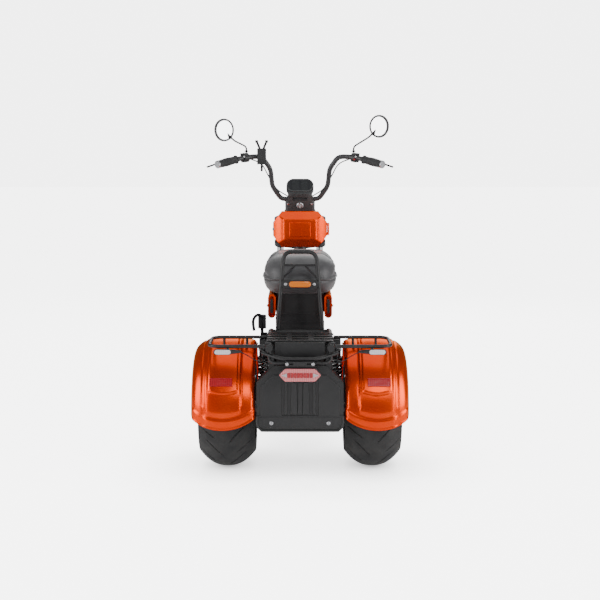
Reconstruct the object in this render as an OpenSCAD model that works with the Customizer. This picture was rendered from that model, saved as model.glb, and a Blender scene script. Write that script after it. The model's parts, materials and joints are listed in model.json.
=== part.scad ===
// Three-wheeled electric scooter, standing on its wheels, front towards +Y.
// Lengths are millimetres. X points to the rider's right and Z points up.
// The sizes along Y are measured from the rear axle, and datum() then moves
// the whole machine so that its origin is at the middle of its footprint.

/* [Layout] */
// Distance between the rear axle and the front axle
wheelbase = 1260; // [1150:5:1400]
// Distance from the middle to the centre of each rear wheel
half_track = 277; // [268:1:300]
// Angle of the steering axis from the vertical
rake = 24; // [22:0.5:27]
// Distance of the front axle ahead of the steering axis
fork_offset = 30; // [24:1:36]
// How far the back of the tail lamp lies behind the rear axle
tail_reach = 352; // [340:1:380]

/* [Rear wheels] */
// Outer diameter of a rear tyre
rear_tyre_d = 450; // [420:1:470]
// Width of a rear tyre
rear_tyre_w = 215; // [190:1:218]
// Diameter of a rear rim
rear_rim_d = 203; // [180:1:230]
// Fall of a rear tyre from its crown to its shoulder
rear_crown = 60; // [40:1:70]

/* [Front wheel] */
// Outer diameter of the front tyre
front_tyre_d = 472; // [440:1:490]
// Width of the front tyre
front_tyre_w = 118; // [100:1:122]
// Diameter of the front rim
front_rim_d = 305; // [280:1:330]
// Fall of the front tyre from its crown to its shoulder
front_crown = 36; // [24:1:40]

/* [Rear fenders] */
// Greatest radius of a fender about the rear axle
fender_r = 270; // [262:1:285]
// Distance from the middle to a fender's inner edge
fender_in = 167; // [166:0.5:170]
// Distance from the middle to a fender's outer wall
fender_out = 408; // [402:1:425]
// Wall of a fender
fender_t = 3.5; // [2.5:0.5:5]
// Height of a fender's rear edge at its middle
fender_low = 191; // [180:1:210]

/* [Frame] */
// Distance from the middle to a side rail
rail_x = 112; // [110:1:116]
// Radius of a side rail
rail_r = 14; // [12:0.5:15]
// Height of the rails under the footboard
floor_z = 262; // [250:1:280]
// Height of the rails where they carry the rack
rack_z = 508; // [500:1:520]
// Radius of the down tube
down_r = 28; // [24:1:30]
// Radius of the head tube
head_r = 33; // [31:0.5:36]
// Radius of the swinging fork's pivot
pivot_r = 12; // [10:0.5:14]

/* [Seat] */
// Height of the top of the seat
seat_top = 790; // [770:1:810]
// Half of the seat's greatest width
seat_half = 156; // [140:1:165]
// Height of the underside of the seat pan
pan_z = 646; // [636:1:656]
// Distance of the seat's rear end ahead of the rear axle
seat_back = 144; // [140:1:170]
// Length of the seat
seat_len = 500; // [460:5:540]

/* [Grab hoop] */
// Height of the top of the hoop
hoop_top = 827; // [800:1:860]
// Distance of the hoop ahead of the rear axle
hoop_y = 100; // [95:1:110]
// Radius of the hoop's tube
hoop_r = 8; // [6:0.5:9]

/* [Storage box] */
// Width of the storage box
box_w = 239; // [225:1:250]
// Height of the storage box
box_h = 156; // [140:1:165]
// Distance of the box's front wall ahead of the rear axle
box_front = 848; // [830:1:852]
// Depth of the box's fixed tray
tray_d = 42; // [36:1:50]
// Depth of the box's door
door_d = 42; // [30:1:50]
// Wall of the tray and the door
box_t = 4; // [3:0.5:6]

/* [Fork] */
// Distance from the middle to a fork leg
leg_x = 90; // [88:1:96]
// Radius of a fork slider
slider_r = 21; // [18:0.5:22]
// Radius of a fork tube
stanchion_r = 16; // [14:0.5:17]
// Radius of the steering stem
stem_r = 15; // [12:0.5:18]
// Radius of the front axle
axle_r = 8; // [7:0.5:10]

/* [Handlebar] */
// Distance from the middle to the end of a grip
bar_half = 345; // [320:1:370]
// Height of the middle of the handlebar
bar_z = 990; // [985:1:1000]
// Rise of the handlebar from its middle to its top
bar_rise = 190; // [170:1:210]
// Radius of the handlebar
bar_r = 11; // [10:0.5:12.7]

/* [Clearances] */
// Gap between pieces that are seated on each other
seat_gap = 0.3; // [0.2:0.1:0.5]
// Gap all round a shaft that turns in a bore
run_gap = 0.3; // [0.2:0.1:0.5]

/* [Hidden] */
$fn = 64;

orange = [0.86, 0.29, 0.08];
black = [0.10, 0.10, 0.11];
grey = [0.30, 0.30, 0.32];
silver = [0.75, 0.76, 0.78];
tyre_grey = [0.20, 0.20, 0.20];
smoke = [0.85, 0.85, 0.88];
red = [0.70, 0.08, 0.08];
amber = [0.95, 0.50, 0.05];

// Places that follow from the sizes above
rear_r = rear_tyre_d / 2;
front_r = front_tyre_d / 2;
shift_y = -(wheelbase + front_r - tail_reach) / 2;
// Foot of the steering axis: the point of it that is level with the axle
foot_y = wheelbase - fork_offset * cos(rake);
foot_z = front_r - fork_offset * sin(rake);
// Distance along the steering axis at a given height
function along(z) = (z - foot_z) / cos(rake);
// Place along Y of the steering axis at a given height
function axis_y(z) = foot_y - along(z) * sin(rake);

// Middle of the storage box, and the heights that follow from it
box_z = 861;
box_back = box_front - tray_d;
head_low = along(box_z) - 75;
head_high = along(box_z) + 5;
low_clamp = head_low - 33;
top_clamp = head_high + 3;
clamp_t = 22;
bar_t = along(bar_z);
riser_half = 64;
lock_t = bar_t - 25;
bracket_z = [box_z - 46, box_z - 12];

// Rear end
axle_half = 160;
housing_r = 28;
motor_r = 80;
motor_half = 58;
spindle_r = 12;
pivot_y = 345;
arm_in = 64;
arm_w = 28;
shock_x = 140;
eye_r = 13;
shock_low = [-75, 262];
shock_high = [-108, 468];
stay_x = 105;
stay_w = 20;
cover_back = -262;
cover_t = 4;
cover_half = 160;
loop_z = 513;
loop_far = -96;
loop_near = -322;
loop_out = 330;
loop_r = 6.5;
slat_t = 4;
slat_z = rack_z + rail_r + seat_gap;
rack_hole_r = 3.25;
rack_dx = 160;
slat_rows = 4;
slat_first = -80;
slat_gap = 60;
slat_half = 14;
slat_last = slat_first - slat_gap * (slat_rows - 1);

// Seat and body
battery_half = rail_x - rail_r - 2.3;
shelf_z = 316;
battery_y = [205, 555];
panel_x = 112;
panel_half_w = 15.5;
panel_half_h = 47;

// ---- Shared shapes ----

module datum() { translate([0, shift_y, 0]) children(); }
module steer_frame() { datum() translate([0, foot_y, foot_z]) rotate([rake, 0, 0]) children(); }
module scale_x(side) { if (side < 0) mirror([1, 0, 0]) children(); else children(); }
// A cylinder along X from one place to another
module along_x(x0, x1, r) { translate([x0, 0, 0]) rotate([0, 90, 0]) cylinder(h = x1 - x0, r = r); }
// A box given by its lowest and highest corners
module block(a, b) { translate(a) cube(b - a); }
// A round bar between two points
module bar(a, b, r) {
    d = b - a;
    translate(a) rotate([0, acos(d[2] / norm(d)), atan2(d[1], d[0])]) cylinder(h = norm(d), r = r);
}

function unit(v) = v / norm(v);
// A path with its corners rounded, each with a curve of a few steps
function rounded(p, reach, steps = 4) = [
    for (i = [0 : len(p) - 1])
        if (i == 0 || i == len(p) - 1) p[i]
        else
            let (a = p[i - 1] - p[i], b = p[i + 1] - p[i])
            let (ra = min(reach, norm(a) * 0.48), rb = min(reach, norm(b) * 0.48))
            for (s = [0 : 1 / steps : 1])
                p[i] + unit(a) * ra * (1 - s) * (1 - s) + unit(b) * rb * s * s
];
function tangents(p) = [
    for (i = [0 : len(p) - 1])
        i == 0 ? unit(p[1] - p[0])
        : i == len(p) - 1 ? unit(p[i] - p[i - 1])
        : unit(unit(p[i + 1] - p[i]) + unit(p[i] - p[i - 1]))
];
function side_of(t) = unit(cross(t, abs(t[2]) < 0.9 ? [0, 0, 1] : [1, 0, 0]));
function normals(t, i = 0, last = [0, 0, 0]) =
    i >= len(t) ? []
    : let (n = i == 0 ? side_of(t[0]) : unit(last - (last * t[i]) * t[i]))
        concat([n], normals(t, i + 1, n));
// A bent tube along a path; wide and tall differ for a flat bar
module tube(p, r, sides = 12, tall = 0) {
    t = tangents(p);
    n = normals(t);
    h = tall == 0 ? r : tall;
    points = [
        for (i = [0 : len(p) - 1], k = [0 : sides - 1])
            let (a = 360 * k / sides, b = cross(t[i], n[i]))
            p[i] + n[i] * r * cos(a) + b * h * sin(a)
    ];
    last = (len(p) - 1) * sides;
    walls = [
        for (i = [0 : len(p) - 2], k = [0 : sides - 1])
            let (a = i * sides + k, b = i * sides + (k + 1) % sides)
            each [[a, b + sides, b], [a, a + sides, b + sides]]
    ];
    ends = [
        [for (k = [0 : sides - 1]) k],
        [for (k = [sides - 1 : -1 : 0]) last + k]
    ];
    polyhedron(points, concat(walls, ends), convexity = 6);
}
// Outline of a thin wall that follows a row of points, on the left of them
function wall_outline(p, t) = concat(p, [
    for (i = [len(p) - 1 : -1 : 0])
        let (d = unit((i < len(p) - 1 ? p[i + 1] : p[i]) - (i > 0 ? p[i - 1] : p[i])))
        p[i] + t * [-d[1], d[0]]
]);

// ---- Wheels ----

// A tyre about X, crowned across its width
module tyre(r, w, rim, crown, steps = 16) {
    lip = 10;
    bead = w / 2 - 21;
    crown_row = [
        for (i = [0 : steps])
            let (s = -1 + 2 * i / steps)
            [r - crown * pow(abs(s), 2.4), s * w / 2]
    ];
    side = [
        [r - crown * 1.5, w / 2 - 1],
        [rim + lip + 12, bead + 13],
        [rim + lip, bead],
        [rim, bead]
    ];
    other = [for (i = [len(side) - 1 : -1 : 0]) [side[i][0], -side[i][1]]];
    rotate([0, 90, 0]) rotate_extrude() polygon(concat(crown_row, side, other));
}
// A cast rim about X: its barrel, lips, five spokes and hub
module rim(r, w, hub_half, hub_r, bore) {
    lip = 9.5;
    edge = w / 2 - 21 + seat_gap;
    seat = r - seat_gap;
    barrel = [
        [seat - 6, -edge - 6], [r + lip, -edge - 6], [r + lip, -edge], [seat, -edge],
        [seat, edge], [r + lip, edge], [r + lip, edge + 6], [seat - 6, edge + 6]
    ];
    difference() {
        union() {
            rotate([0, 90, 0]) rotate_extrude() polygon(barrel);
            along_x(-hub_half, hub_half, hub_r);
            for (i = [0 : 4])
                rotate([72 * i, 0, 0])
                    block([hub_half * 0.15, -hub_r * 0.5, hub_r * 0.6],
                        [hub_half * 0.7, hub_r * 0.5, seat - 3]);
        }
        along_x(-hub_half - 1, hub_half + 1, bore);
    }
}
module rear_tyre(side) {
    datum() translate([side * half_track, 0, rear_r])
        tyre(rear_r, rear_tyre_w, rear_rim_d / 2, rear_crown);
}
module rear_rim(side) {
    datum() translate([side * half_track, 0, rear_r]) scale_x(side)
        rim(rear_rim_d / 2, rear_tyre_w, 50, 30, spindle_r + run_gap);
}
module rear_tyre_left() { color(tyre_grey) rear_tyre(-1); }
module rear_tyre_right() { color(tyre_grey) rear_tyre(1); }
module rear_rim_left() { color(silver) rear_rim(-1); }
module rear_rim_right() { color(silver) rear_rim(1); }
front_hub = 40;
module front_tyre() {
    color(tyre_grey) datum() translate([0, wheelbase, front_r])
        tyre(front_r, front_tyre_w, front_rim_d / 2, front_crown);
}
module front_rim() {
    color(silver) datum() translate([0, wheelbase, front_r])
        rim(front_rim_d / 2, front_tyre_w, front_hub, 26, axle_r + run_gap);
}
disc_r = 100;
disc_t = 4;
disc_x = -52;
module front_disc() {
    color(silver) datum() translate([0, wheelbase, front_r]) difference() {
        union() {
            along_x(disc_x - disc_t / 2, disc_x + disc_t / 2, disc_r);
            along_x(disc_x, -front_hub - seat_gap, 24);
        }
        along_x(disc_x - 10, -front_hub + 1, axle_r + run_gap);
        for (i = [0 : 7])
            rotate([45 * i, 0, 0]) translate([disc_x - disc_t, 0, disc_r * 0.62])
                rotate([0, 90, 0]) cylinder(h = 2 * disc_t, r = 14);
    }
}

// ---- Frame ----

module rail_path_tube(side) {
    p = [
        [side * rail_x, down_foot, floor_z], [side * rail_x, 330, floor_z],
        [side * rail_x, 130, rack_z - 6], [side * rail_x, 60, rack_z],
        [side * rail_x, loop_near - rail_r, rack_z]
    ];
    tube(rounded(p, 40), rail_r);
}
down_foot = 868;
module main_frame() {
    color(black) difference() {
        union() {
            steer_frame() translate([0, 0, head_low]) cylinder(h = head_high - head_low, r = head_r);
            datum() {
                tube(rounded([
                    [0, axis_y(box_z - 15) - 12, box_z - 15],
                    [0, down_foot + 12, 560],
                    [0, down_foot, 400],
                    [0, down_foot, floor_z]
                ], 90), down_r);
                for (side = [-1, 1]) {
                    rail_path_tube(side);
                    // Square stay that carries the rear cover
                    block([side * stay_x - stay_w / 2, cover_back + cover_t, 204],
                        [side * stay_x + stay_w / 2, cover_back + cover_t + stay_w, rack_z - 4]);
                    // Lug for the top of a shock absorber
                    scale_x(side) block([rail_x - 5, shock_high[0] - 12, shock_high[1] + eye_r],
                        [shock_x + 14, shock_high[0] + 12, rack_z - 3]);
                    // Post between the floor rail and the battery shelf
                    block([side * rail_x - 10, 530, floor_z + 3],
                        [side * rail_x + 10, 550, shelf_z - seat_gap - 1]);
                }
                translate([0, down_foot, floor_z]) along_x(-190, 190, 16);
                translate([0, 600, floor_z]) along_x(-190, 190, rail_r);
                translate([0, pivot_y, floor_z]) along_x(-rail_x + 3, rail_x - 3, pivot_r);
                translate([0, hoop_y, rack_z - 5]) along_x(-rail_x + 3, rail_x - 3, 11);
                block([-rail_x + 5, battery_y[0], shelf_z - 6],
                    [rail_x - 5, battery_y[1], shelf_z - seat_gap]);
                // Bracket between the steering head and the storage box
                block([-24, box_front + seat_gap, bracket_z[0]], [24, axis_y(box_z), bracket_z[1]]);
            }
        }
        steer_frame() translate([0, 0, head_low - 60])
            cylinder(h = head_high - head_low + 90, r = stem_r + run_gap);
    }
}
board_half = 185;
board_y = [575, 832];
module footboard() {
    board_z = floor_z + rail_r + seat_gap;
    color(grey) datum() {
        difference() {
            block([-board_half, board_y[0], board_z], [board_half, board_y[1], board_z + 10]);
            for (side = [-1, 1]) translate([side * board_half, board_y[0], board_z - 1]) rotate([0, 0, 45])
                cube([60, 60, 30], center = true);
        }
        for (side = [-1, 1]) scale_x(side)
            translate([down_r + 8, board_y[1] - 2, board_z]) rotate([48, 0, 0])
                cube([board_half - down_r - 8, 110, 10]);
    }
}
module battery_box() {
    color(black) datum() difference() {
        block([-battery_half, battery_y[0], shelf_z], [battery_half, battery_y[1], pan_z - seat_gap]);
        for (side = [-1, 1], y = battery_y) translate([side * battery_half, y, shelf_z - 1])
            rotate([0, 0, 45]) cube([16, 16, 800], center = true);
    }
}
// Outline with round ends, given by its half width and half height
module slot_shape(w, h) {
    square([2 * w, 2 * (h - w)], center = true);
    for (s = [-1, 1]) translate([0, s * (h - w)]) circle(r = w);
}
module side_panel(side) {
    wall = 6;
    z = pan_z - seat_gap - panel_half_h;
    color(orange) datum() translate([side * panel_x, 150, z]) rotate([-90, 0, 0]) difference() {
        linear_extrude(430) slot_shape(panel_half_w, panel_half_h);
        translate([0, 0, -1]) linear_extrude(60) slot_shape(panel_half_w - wall, panel_half_h - wall);
    }
}
module side_panels() { for (side = [-1, 1]) side_panel(side); }

pan_top = 690;
nose_r = 86;
seat_mid = seat_back + seat_half;
nose_y = seat_back + seat_len - nose_r;
module seat_pan() {
    color(black) datum() hull() {
        for (z = [[pan_z, 18], [pan_top - 6, 2]]) {
            translate([0, seat_mid, z[0]]) cylinder(h = 6, r = seat_half - z[1] - 4, $fn = 40);
            translate([0, nose_y, z[0]]) cylinder(h = 6, r = nose_r - z[1] - 4, $fn = 40);
        }
    }
}
module seat() {
    low = pan_top + seat_gap;
    color(grey) datum() hull() {
        translate([0, seat_mid, low]) cylinder(h = 34, r = seat_half, $fn = 40);
        translate([0, seat_mid + 4, low + 66]) cylinder(h = 8, r = seat_half - 16, $fn = 40);
        translate([0, seat_mid + 12, seat_top - 6]) cylinder(h = 6, r = seat_half - 46, $fn = 40);
        translate([0, nose_y, low]) cylinder(h = 30, r = nose_r, $fn = 40);
        translate([0, nose_y - 4, low + 58]) cylinder(h = 4, r = nose_r - 26, $fn = 40);
    }
}

hoop_foot = rack_z + 6 + 3 * seat_gap;
// Place along Y, and half width, of the grab hoop at a given height
function hoop_lean(z) = hoop_y + 6 * (z - hoop_foot) / (hoop_top - hoop_r - hoop_foot);
function hoop_x(z) = 88 - 26 * (z - hoop_foot) / (hoop_top - hoop_foot);
module grab_hoop() {
    top = hoop_top - hoop_r;
    bar_h = 767;
    brace = 712;
    color(black) datum() {
        tube(rounded([
            [-hoop_x(hoop_foot), hoop_y, hoop_foot], [-hoop_x(top), hoop_lean(top), top],
            [hoop_x(top), hoop_lean(top), top], [hoop_x(hoop_foot), hoop_y, hoop_foot]
        ], 34, 6), hoop_r);
        bar([-hoop_x(bar_h), hoop_lean(bar_h), bar_h], [hoop_x(bar_h), hoop_lean(bar_h), bar_h], 5);
        for (side = [-1, 1])
            bar([side * 18, hoop_lean(bar_h), bar_h], [side * hoop_x(brace), hoop_lean(brace), brace], 4);
    }
}
module hoop_reflector() {
    z = 692;
    back = hoop_lean(z - 16) - hoop_r - seat_gap;
    color(amber) datum() {
        block([-hoop_x(z) - 2, back - 4, z - 16], [hoop_x(z) + 2, back, z + 18]);
        translate([0, back - 4, z]) rotate([90, 90, 0]) linear_extrude(7) slot_shape(11.5, 43);
    }
}

// ---- Rear fenders, rails and rack ----

// Outline across a fender, as places along X and radii about the axle
function fender_row() = [
    [fender_in, fender_r - 24], [fender_in + 2, fender_r - 14], [fender_in + 12, fender_r - 8],
    [fender_in + 40, fender_r - 3], [fender_in + 90, fender_r], [fender_out - 100, fender_r],
    [fender_out - 68, fender_r - 2.5], [fender_out - 52, fender_r - 7], [fender_out - 36, fender_r - 15],
    [fender_out - 18, fender_r - 28], [fender_out - 7, fender_r - 45], [fender_out - 1, fender_r - 70],
    [fender_out, fender_r - 100], [fender_out - 2, fender_r - 128]
];
module rear_fender(side) {
    row = [for (q = fender_row()) [q[1], q[0]]];
    mid = (fender_in + fender_out) / 2;
    half = (fender_out - fender_in) / 2;
    // The lower edges are arched: lowest at the middle, higher by this much at the corners
    drop = 44;
    arch = (half * half + drop * drop) / (2 * drop);
    color(orange) datum() scale_x(side) intersection() {
        translate([0, 0, rear_r]) rotate([0, 90, 0]) rotate([0, 0, 75])
            rotate_extrude(angle = 210, $fn = 120) polygon(wall_outline(row, fender_t));
        translate([mid, 400, fender_low + arch]) rotate([90, 0, 0]) cylinder(h = 800, r = arch);
    }
}
module rear_fender_left() { rear_fender(-1); }
module rear_fender_right() { rear_fender(1); }

function fender_top(y) = rear_r + sqrt(fender_r * fender_r - y * y);
module fender_rail(side) {
    start = rail_x + rail_r + seat_gap;
    color(black) datum() scale_x(side) {
        tube(rounded([
            [start, loop_far, loop_z], [loop_out, loop_far, loop_z],
            [loop_out, loop_near, loop_z], [start, loop_near, loop_z]
        ], 46, 6), loop_r, 10);
        for (x = [200, 286])
            translate([x, loop_far, fender_top(loop_far + 6) + seat_gap])
                cylinder(h = loop_z - fender_top(loop_far + 6) - seat_gap, r = 5);
    }
}
module fender_rail_left() { fender_rail(-1); }
module fender_rail_right() { fender_rail(1); }

rear_bar_y = -322;
rear_bar_z = 452;
module luggage_rack() {
    under = rack_z - rail_r - seat_gap;
    color(black) datum() {
        difference() {
            union() {
                for (i = [0 : slat_rows - 1])
                    block([-rail_x - 10, slat_first - slat_gap * i - slat_half, slat_z],
                        [rail_x + 10, slat_first - slat_gap * i + slat_half, slat_z + slat_t]);
                for (s = [-1, 1])
                    block([s * 40 - 10, slat_last - slat_half, slat_z],
                        [s * 40 + 10, slat_first + slat_half, slat_z + slat_t]);
            }
            for (s = [-1, 1], y = [slat_first, slat_last])
                translate([s * rack_dx / 2, y, slat_z - 1]) cylinder(h = slat_t + 2, r = rack_hole_r);
        }
        // Hanging bar below the ends of the rails
        tube(rounded([
            [-rail_x, loop_near + 22, under - 3.2], [-rail_x, rear_bar_y, rear_bar_z],
            [rail_x, rear_bar_y, rear_bar_z], [rail_x, loop_near + 22, under - 3.2]
        ], 26, 4), 6.5, 10);
        // Bow that sweeps behind it
        tube(rounded([
            [-138, -296, under - 8], [-70, -334, 468], [70, -334, 468], [138, -296, under - 8]
        ], 40, 4), 7, 10);
    }
}
module controller_box() {
    color(black) datum()
        block([-rail_x + stay_w, -290, 466], [rail_x - stay_w, -110, slat_z - seat_gap]);
}
module turn_lamp(side) {
    z = loop_z - loop_r - 16;
    color(amber) datum() scale_x(side) translate([262, loop_near, z]) {
        rotate([0, 90, 0]) translate([0, 0, -52]) linear_extrude(102) slot_shape(8, 15);
        block([-8, -5, 7], [8, 5, 16 - seat_gap]);
    }
}
module rear_turn_lamps() { for (side = [-1, 1]) turn_lamp(side); }

module plate_lamp() {
    back = rear_bar_y - 6.5 - seat_gap;
    color(black) datum() difference() {
        block([-53, back - 16, 441], [53, back, 461]);
        for (s = [-1, 1]) translate([s * 47, back + 1, 451]) rotate([90, 0, 0]) cylinder(h = 20, r = 2.6);
    }
}
tail_z = 411;
tail_half = 78;
tail_h = 25;
module tail_lamp() {
    outline = [
        [-tail_half, 0], [-tail_half + 22, tail_h], [tail_half - 22, tail_h],
        [tail_half, 0], [tail_half - 22, -tail_h], [-tail_half + 22, -tail_h]
    ];
    color(red) datum() {
        translate([0, -tail_reach + 32, tail_z]) rotate([90, 0, 0]) linear_extrude(32) polygon(outline);
        block([-40, -tail_reach + 32, tail_z - 20], [40, -tail_reach + 40, rear_bar_z - 6.4]);
    }
}
// The moulded cover behind the axle, as half outlines across and up
function cover_shape(grow) = [
    [95 + grow, 432 + grow], [cover_half + grow, 368 + grow], [cover_half + grow, 246],
    [cover_half + 3 + grow, 240], [cover_half + 3 + grow, 204 - grow], [cover_half - 17 + grow, 184 - grow]
];
function both_sides(p) = concat(p, [for (i = [len(p) - 1 : -1 : 0]) [-p[i][0], p[i][1]]]);
module rear_cover() {
    depth = 60;
    color(black) datum() difference() {
        translate([0, cover_back + depth, 0]) rotate([90, 0, 0])
            linear_extrude(depth) polygon(both_sides(cover_shape(0)));
        translate([0, cover_back + depth + 1, 0]) rotate([90, 0, 0]) linear_extrude(depth + 1 - cover_t)
            polygon(both_sides(cover_shape(-cover_t)));
        translate([0, cover_back + depth + 1, 150]) rotate([90, 0, 0])
            linear_extrude(depth + 1 - cover_t)
                translate([-cover_half + 21, 0]) square([2 * cover_half - 42, 60]);
        for (s = [-1, 1])
            block([s * stay_x - 12, cover_back + cover_t, 400],
                [s * stay_x + 12, cover_back + depth + 1, 460]);
    }
}

// ---- Rear suspension ----

arm_angle = atan((floor_z - rear_r) / pivot_y);
module swing_fork() {
    color(grey) datum() difference() {
        union() {
            translate([0, pivot_y, floor_z]) along_x(-arm_in - arm_w + 2, arm_in + arm_w - 2, 23);
            for (side = [-1, 1]) scale_x(side)
                translate([arm_in, 0, rear_r]) {
                    along_x(0, arm_w, housing_r + 11);
                    rotate([arm_angle, 0, 0]) translate([0, 0, -18])
                        cube([arm_w, norm([pivot_y, floor_z - rear_r]) + 14, 36]);
                }
        }
        translate([0, 0, rear_r]) along_x(-200, 200, housing_r + seat_gap);
        translate([0, pivot_y, floor_z]) along_x(-200, 200, pivot_r + run_gap);
    }
}
module rear_axle() {
    color(grey) datum() {
        translate([0, 0, rear_r]) {
            along_x(-axle_half, axle_half, housing_r);
            along_x(-motor_half, motor_half, motor_r);
            for (side = [-1, 1]) scale_x(side) {
                along_x(axle_half, half_track - 52, 20);
                along_x(half_track - 60, half_track + 74, spindle_r);
                along_x(half_track + 52, half_track + 64, 19);
            }
        }
        for (side = [-1, 1]) scale_x(side)
            block([shock_x - 13, shock_low[0] - 12, rear_r - 14], [shock_x + 13, 0, shock_low[1] - eye_r]);
    }
}
module shock(side) {
    d = [0, shock_high[0] - shock_low[0], shock_high[1] - shock_low[1]];
    length = norm(d);
    color(black) datum() translate([side * shock_x, shock_low[0], shock_low[1]])
        rotate([atan2(-d[1], d[2]), 0, 0]) {
            cylinder(h = length, r = 9);
            translate([0, 0, 18]) cylinder(h = length - 40, r = 13);
            for (i = [0 : 8]) translate([0, 0, 34 + i * 17])
                rotate_extrude() translate([16, 0]) circle(r = 3.6);
            for (z = [22, length - 34]) translate([0, 0, z]) cylinder(h = 6, r = 21);
            for (z = [0, length]) translate([0, 0, z]) along_x(-11, 11, eye_r - seat_gap);
        }
}
module shocks() { for (side = [-1, 1]) shock(side); }

module parking_brake() {
    x = -rail_x - rail_r - seat_gap;
    color(silver) datum() {
        block([x - 26, 12, 478], [x, 28, 514]);
        block([x - 26, 14, 500], [x - 14, 26, 570]);
        translate([x - 20, 20, 556]) rotate([0, 90, 0]) along_x(-26, 26, 16);
        tube(rounded([
            [x - 18, 6, 578], [x - 38, -2, 588], [x - 56, -6, 566], [x - 50, -8, 524]
        ], 18), 6, 8);
    }
}

// ---- Storage box ----

module box_outline(w, h) {
    cx = w * 0.339;
    cz = h * 0.186;
    polygon([
        [cx, h / 2], [w / 2, cz], [w / 2, -cz], [cx, -h / 2],
        [-cx, -h / 2], [-w / 2, -cz], [-w / 2, cz], [-cx, h / 2]
    ]);
}
hinge_x = box_w / 2 + 5.5;
hinge_y = box_back - 1;
knuckle_r = 5;
pin_r = 2.5;
knuckle_half = 15;
module box_layer(from_y, to_y, shrink) {
    translate([0, to_y, box_z]) rotate([90, 0, 0]) linear_extrude(to_y - from_y)
        box_outline(box_w - 2 * shrink, box_h - 2 * shrink);
}
module storage_box() {
    color(orange) datum() {
        difference() {
            box_layer(box_back, box_front, 0);
            box_layer(box_back - 1, box_front - box_t, box_t);
        }
        for (s = [-1, 1])
            translate([hinge_x, hinge_y, box_z + s * (knuckle_half + 6.5)]) {
                translate([0, 0, -6]) cylinder(h = 12, r = knuckle_r);
                block([-8, 0.5, -6], [0, 6, 6]);
            }
        translate([hinge_x, hinge_y, box_z - knuckle_half - 10])
            cylinder(h = 2 * knuckle_half + 20, r = pin_r);
    }
}
module door_solid(shrink, top) {
    hull() {
        translate([0, box_back - 1, box_z]) rotate([90, 0, 0]) linear_extrude(6)
            box_outline(box_w - 2 * shrink, box_h - 2 * shrink);
        translate([0, box_back - top, box_z]) rotate([90, 0, 0]) linear_extrude(1)
            square([102 - shrink, 84 - shrink], center = true);
    }
}
module box_door() {
    color(orange) datum() difference() {
        union() {
            difference() {
                door_solid(0, door_d - 1);
                translate([0, 1, 0]) door_solid(box_t, door_d - box_t - 2);
            }
            translate([hinge_x, hinge_y, box_z - knuckle_half]) cylinder(h = 2 * knuckle_half, r = knuckle_r);
            block([hinge_x - 8, hinge_y - 6, box_z - knuckle_half],
                [hinge_x, hinge_y - 0.5, box_z + knuckle_half]);
            // Key barrel on the free edge
            translate([-box_w / 2 - 4, box_back - 5, box_z - 6]) rotate([0, 90, 0]) cylinder(h = 8, r = 3.5);
        }
        translate([hinge_x, hinge_y, box_z - 30]) cylinder(h = 60, r = pin_r + run_gap);
    }
}

// ---- Fork and steering head ----

module clamp_plate(z, bore) {
    translate([0, 0, z]) difference() {
        linear_extrude(clamp_t) {
            for (side = [-1, 1]) translate([side * leg_x, fork_offset]) circle(r = slider_r + 6);
            circle(r = down_r - 4);
            polygon([[-leg_x, fork_offset + 16], [leg_x, fork_offset + 16], [leg_x, fork_offset - 20],
                [24, -8], [-24, -8], [-leg_x, fork_offset - 20]]);
        }
        for (side = [-1, 1]) translate([side * leg_x, fork_offset, -1]) cylinder(h = clamp_t + 2, r = bore);
    }
}
module steering_head() {
    color(black) steer_frame() {
        clamp_plate(low_clamp, stanchion_r + seat_gap);
        clamp_plate(top_clamp, stanchion_r + seat_gap);
        translate([0, 0, low_clamp + 1]) cylinder(h = top_clamp - low_clamp, r = stem_r);
        // Sleeves round the fork tubes between the clamps
        for (side = [-1, 1]) translate([side * leg_x, fork_offset, low_clamp + clamp_t]) difference() {
            cylinder(h = top_clamp - low_clamp - clamp_t, r = stanchion_r + 4);
            translate([0, 0, -1]) cylinder(h = top_clamp - low_clamp, r = stanchion_r + seat_gap);
        }
    }
}
slider_top = 300;
module fork(side) {
    color(silver) steer_frame() translate([side * leg_x, fork_offset, 0]) difference() {
        union() {
            translate([0, 0, -26]) cylinder(h = slider_top + 26, r = slider_r);
            translate([0, 0, slider_top - 2])
                cylinder(h = top_clamp + clamp_t - slider_top + 2, r = stanchion_r);
        }
        along_x(-40, 40, axle_r + seat_gap);
    }
}
module fork_left() { fork(-1); }
module fork_right() { fork(1); }
module front_axle() {
    color(silver) steer_frame() translate([0, fork_offset, 0]) {
        along_x(-leg_x - slider_r - 8, leg_x + slider_r + 8, axle_r);
        for (side = [-1, 1]) scale_x(side) {
            along_x(leg_x + slider_r + seat_gap, leg_x + slider_r + 9, 13);
            along_x(front_hub + 17, leg_x - slider_r - seat_gap, 12);
        }
    }
}
module front_fender() {
    half = 63;
    r = front_r + 16;
    row = [
        [r - 26, half], [r - 12, half - 2], [r - 4, half - 14], [r, half - 34], [r + 1, 0],
        [r, -half + 34], [r - 4, -half + 14], [r - 12, -half + 2], [r - 26, -half]
    ];
    color(orange) {
        datum() translate([0, wheelbase, front_r]) rotate([0, 90, 0]) rotate([0, 0, 128])
            rotate_extrude(angle = 140, $fn = 120) polygon(wall_outline(row, -3));
        steer_frame() for (side = [-1, 1]) scale_x(side)
            translate([0, fork_offset, 0])
                block([half - 3, -10, r - 24], [leg_x - slider_r - seat_gap, 10, r - 10]);
    }
}
lamp_r = 74;
lamp_reach = fork_offset + 34;
lamp_along = along(box_z) + 8;
lamp_y = foot_y + lamp_reach * cos(rake) - lamp_along * sin(rake);
lamp_z = foot_z + lamp_reach * sin(rake) + lamp_along * cos(rake);
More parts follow.
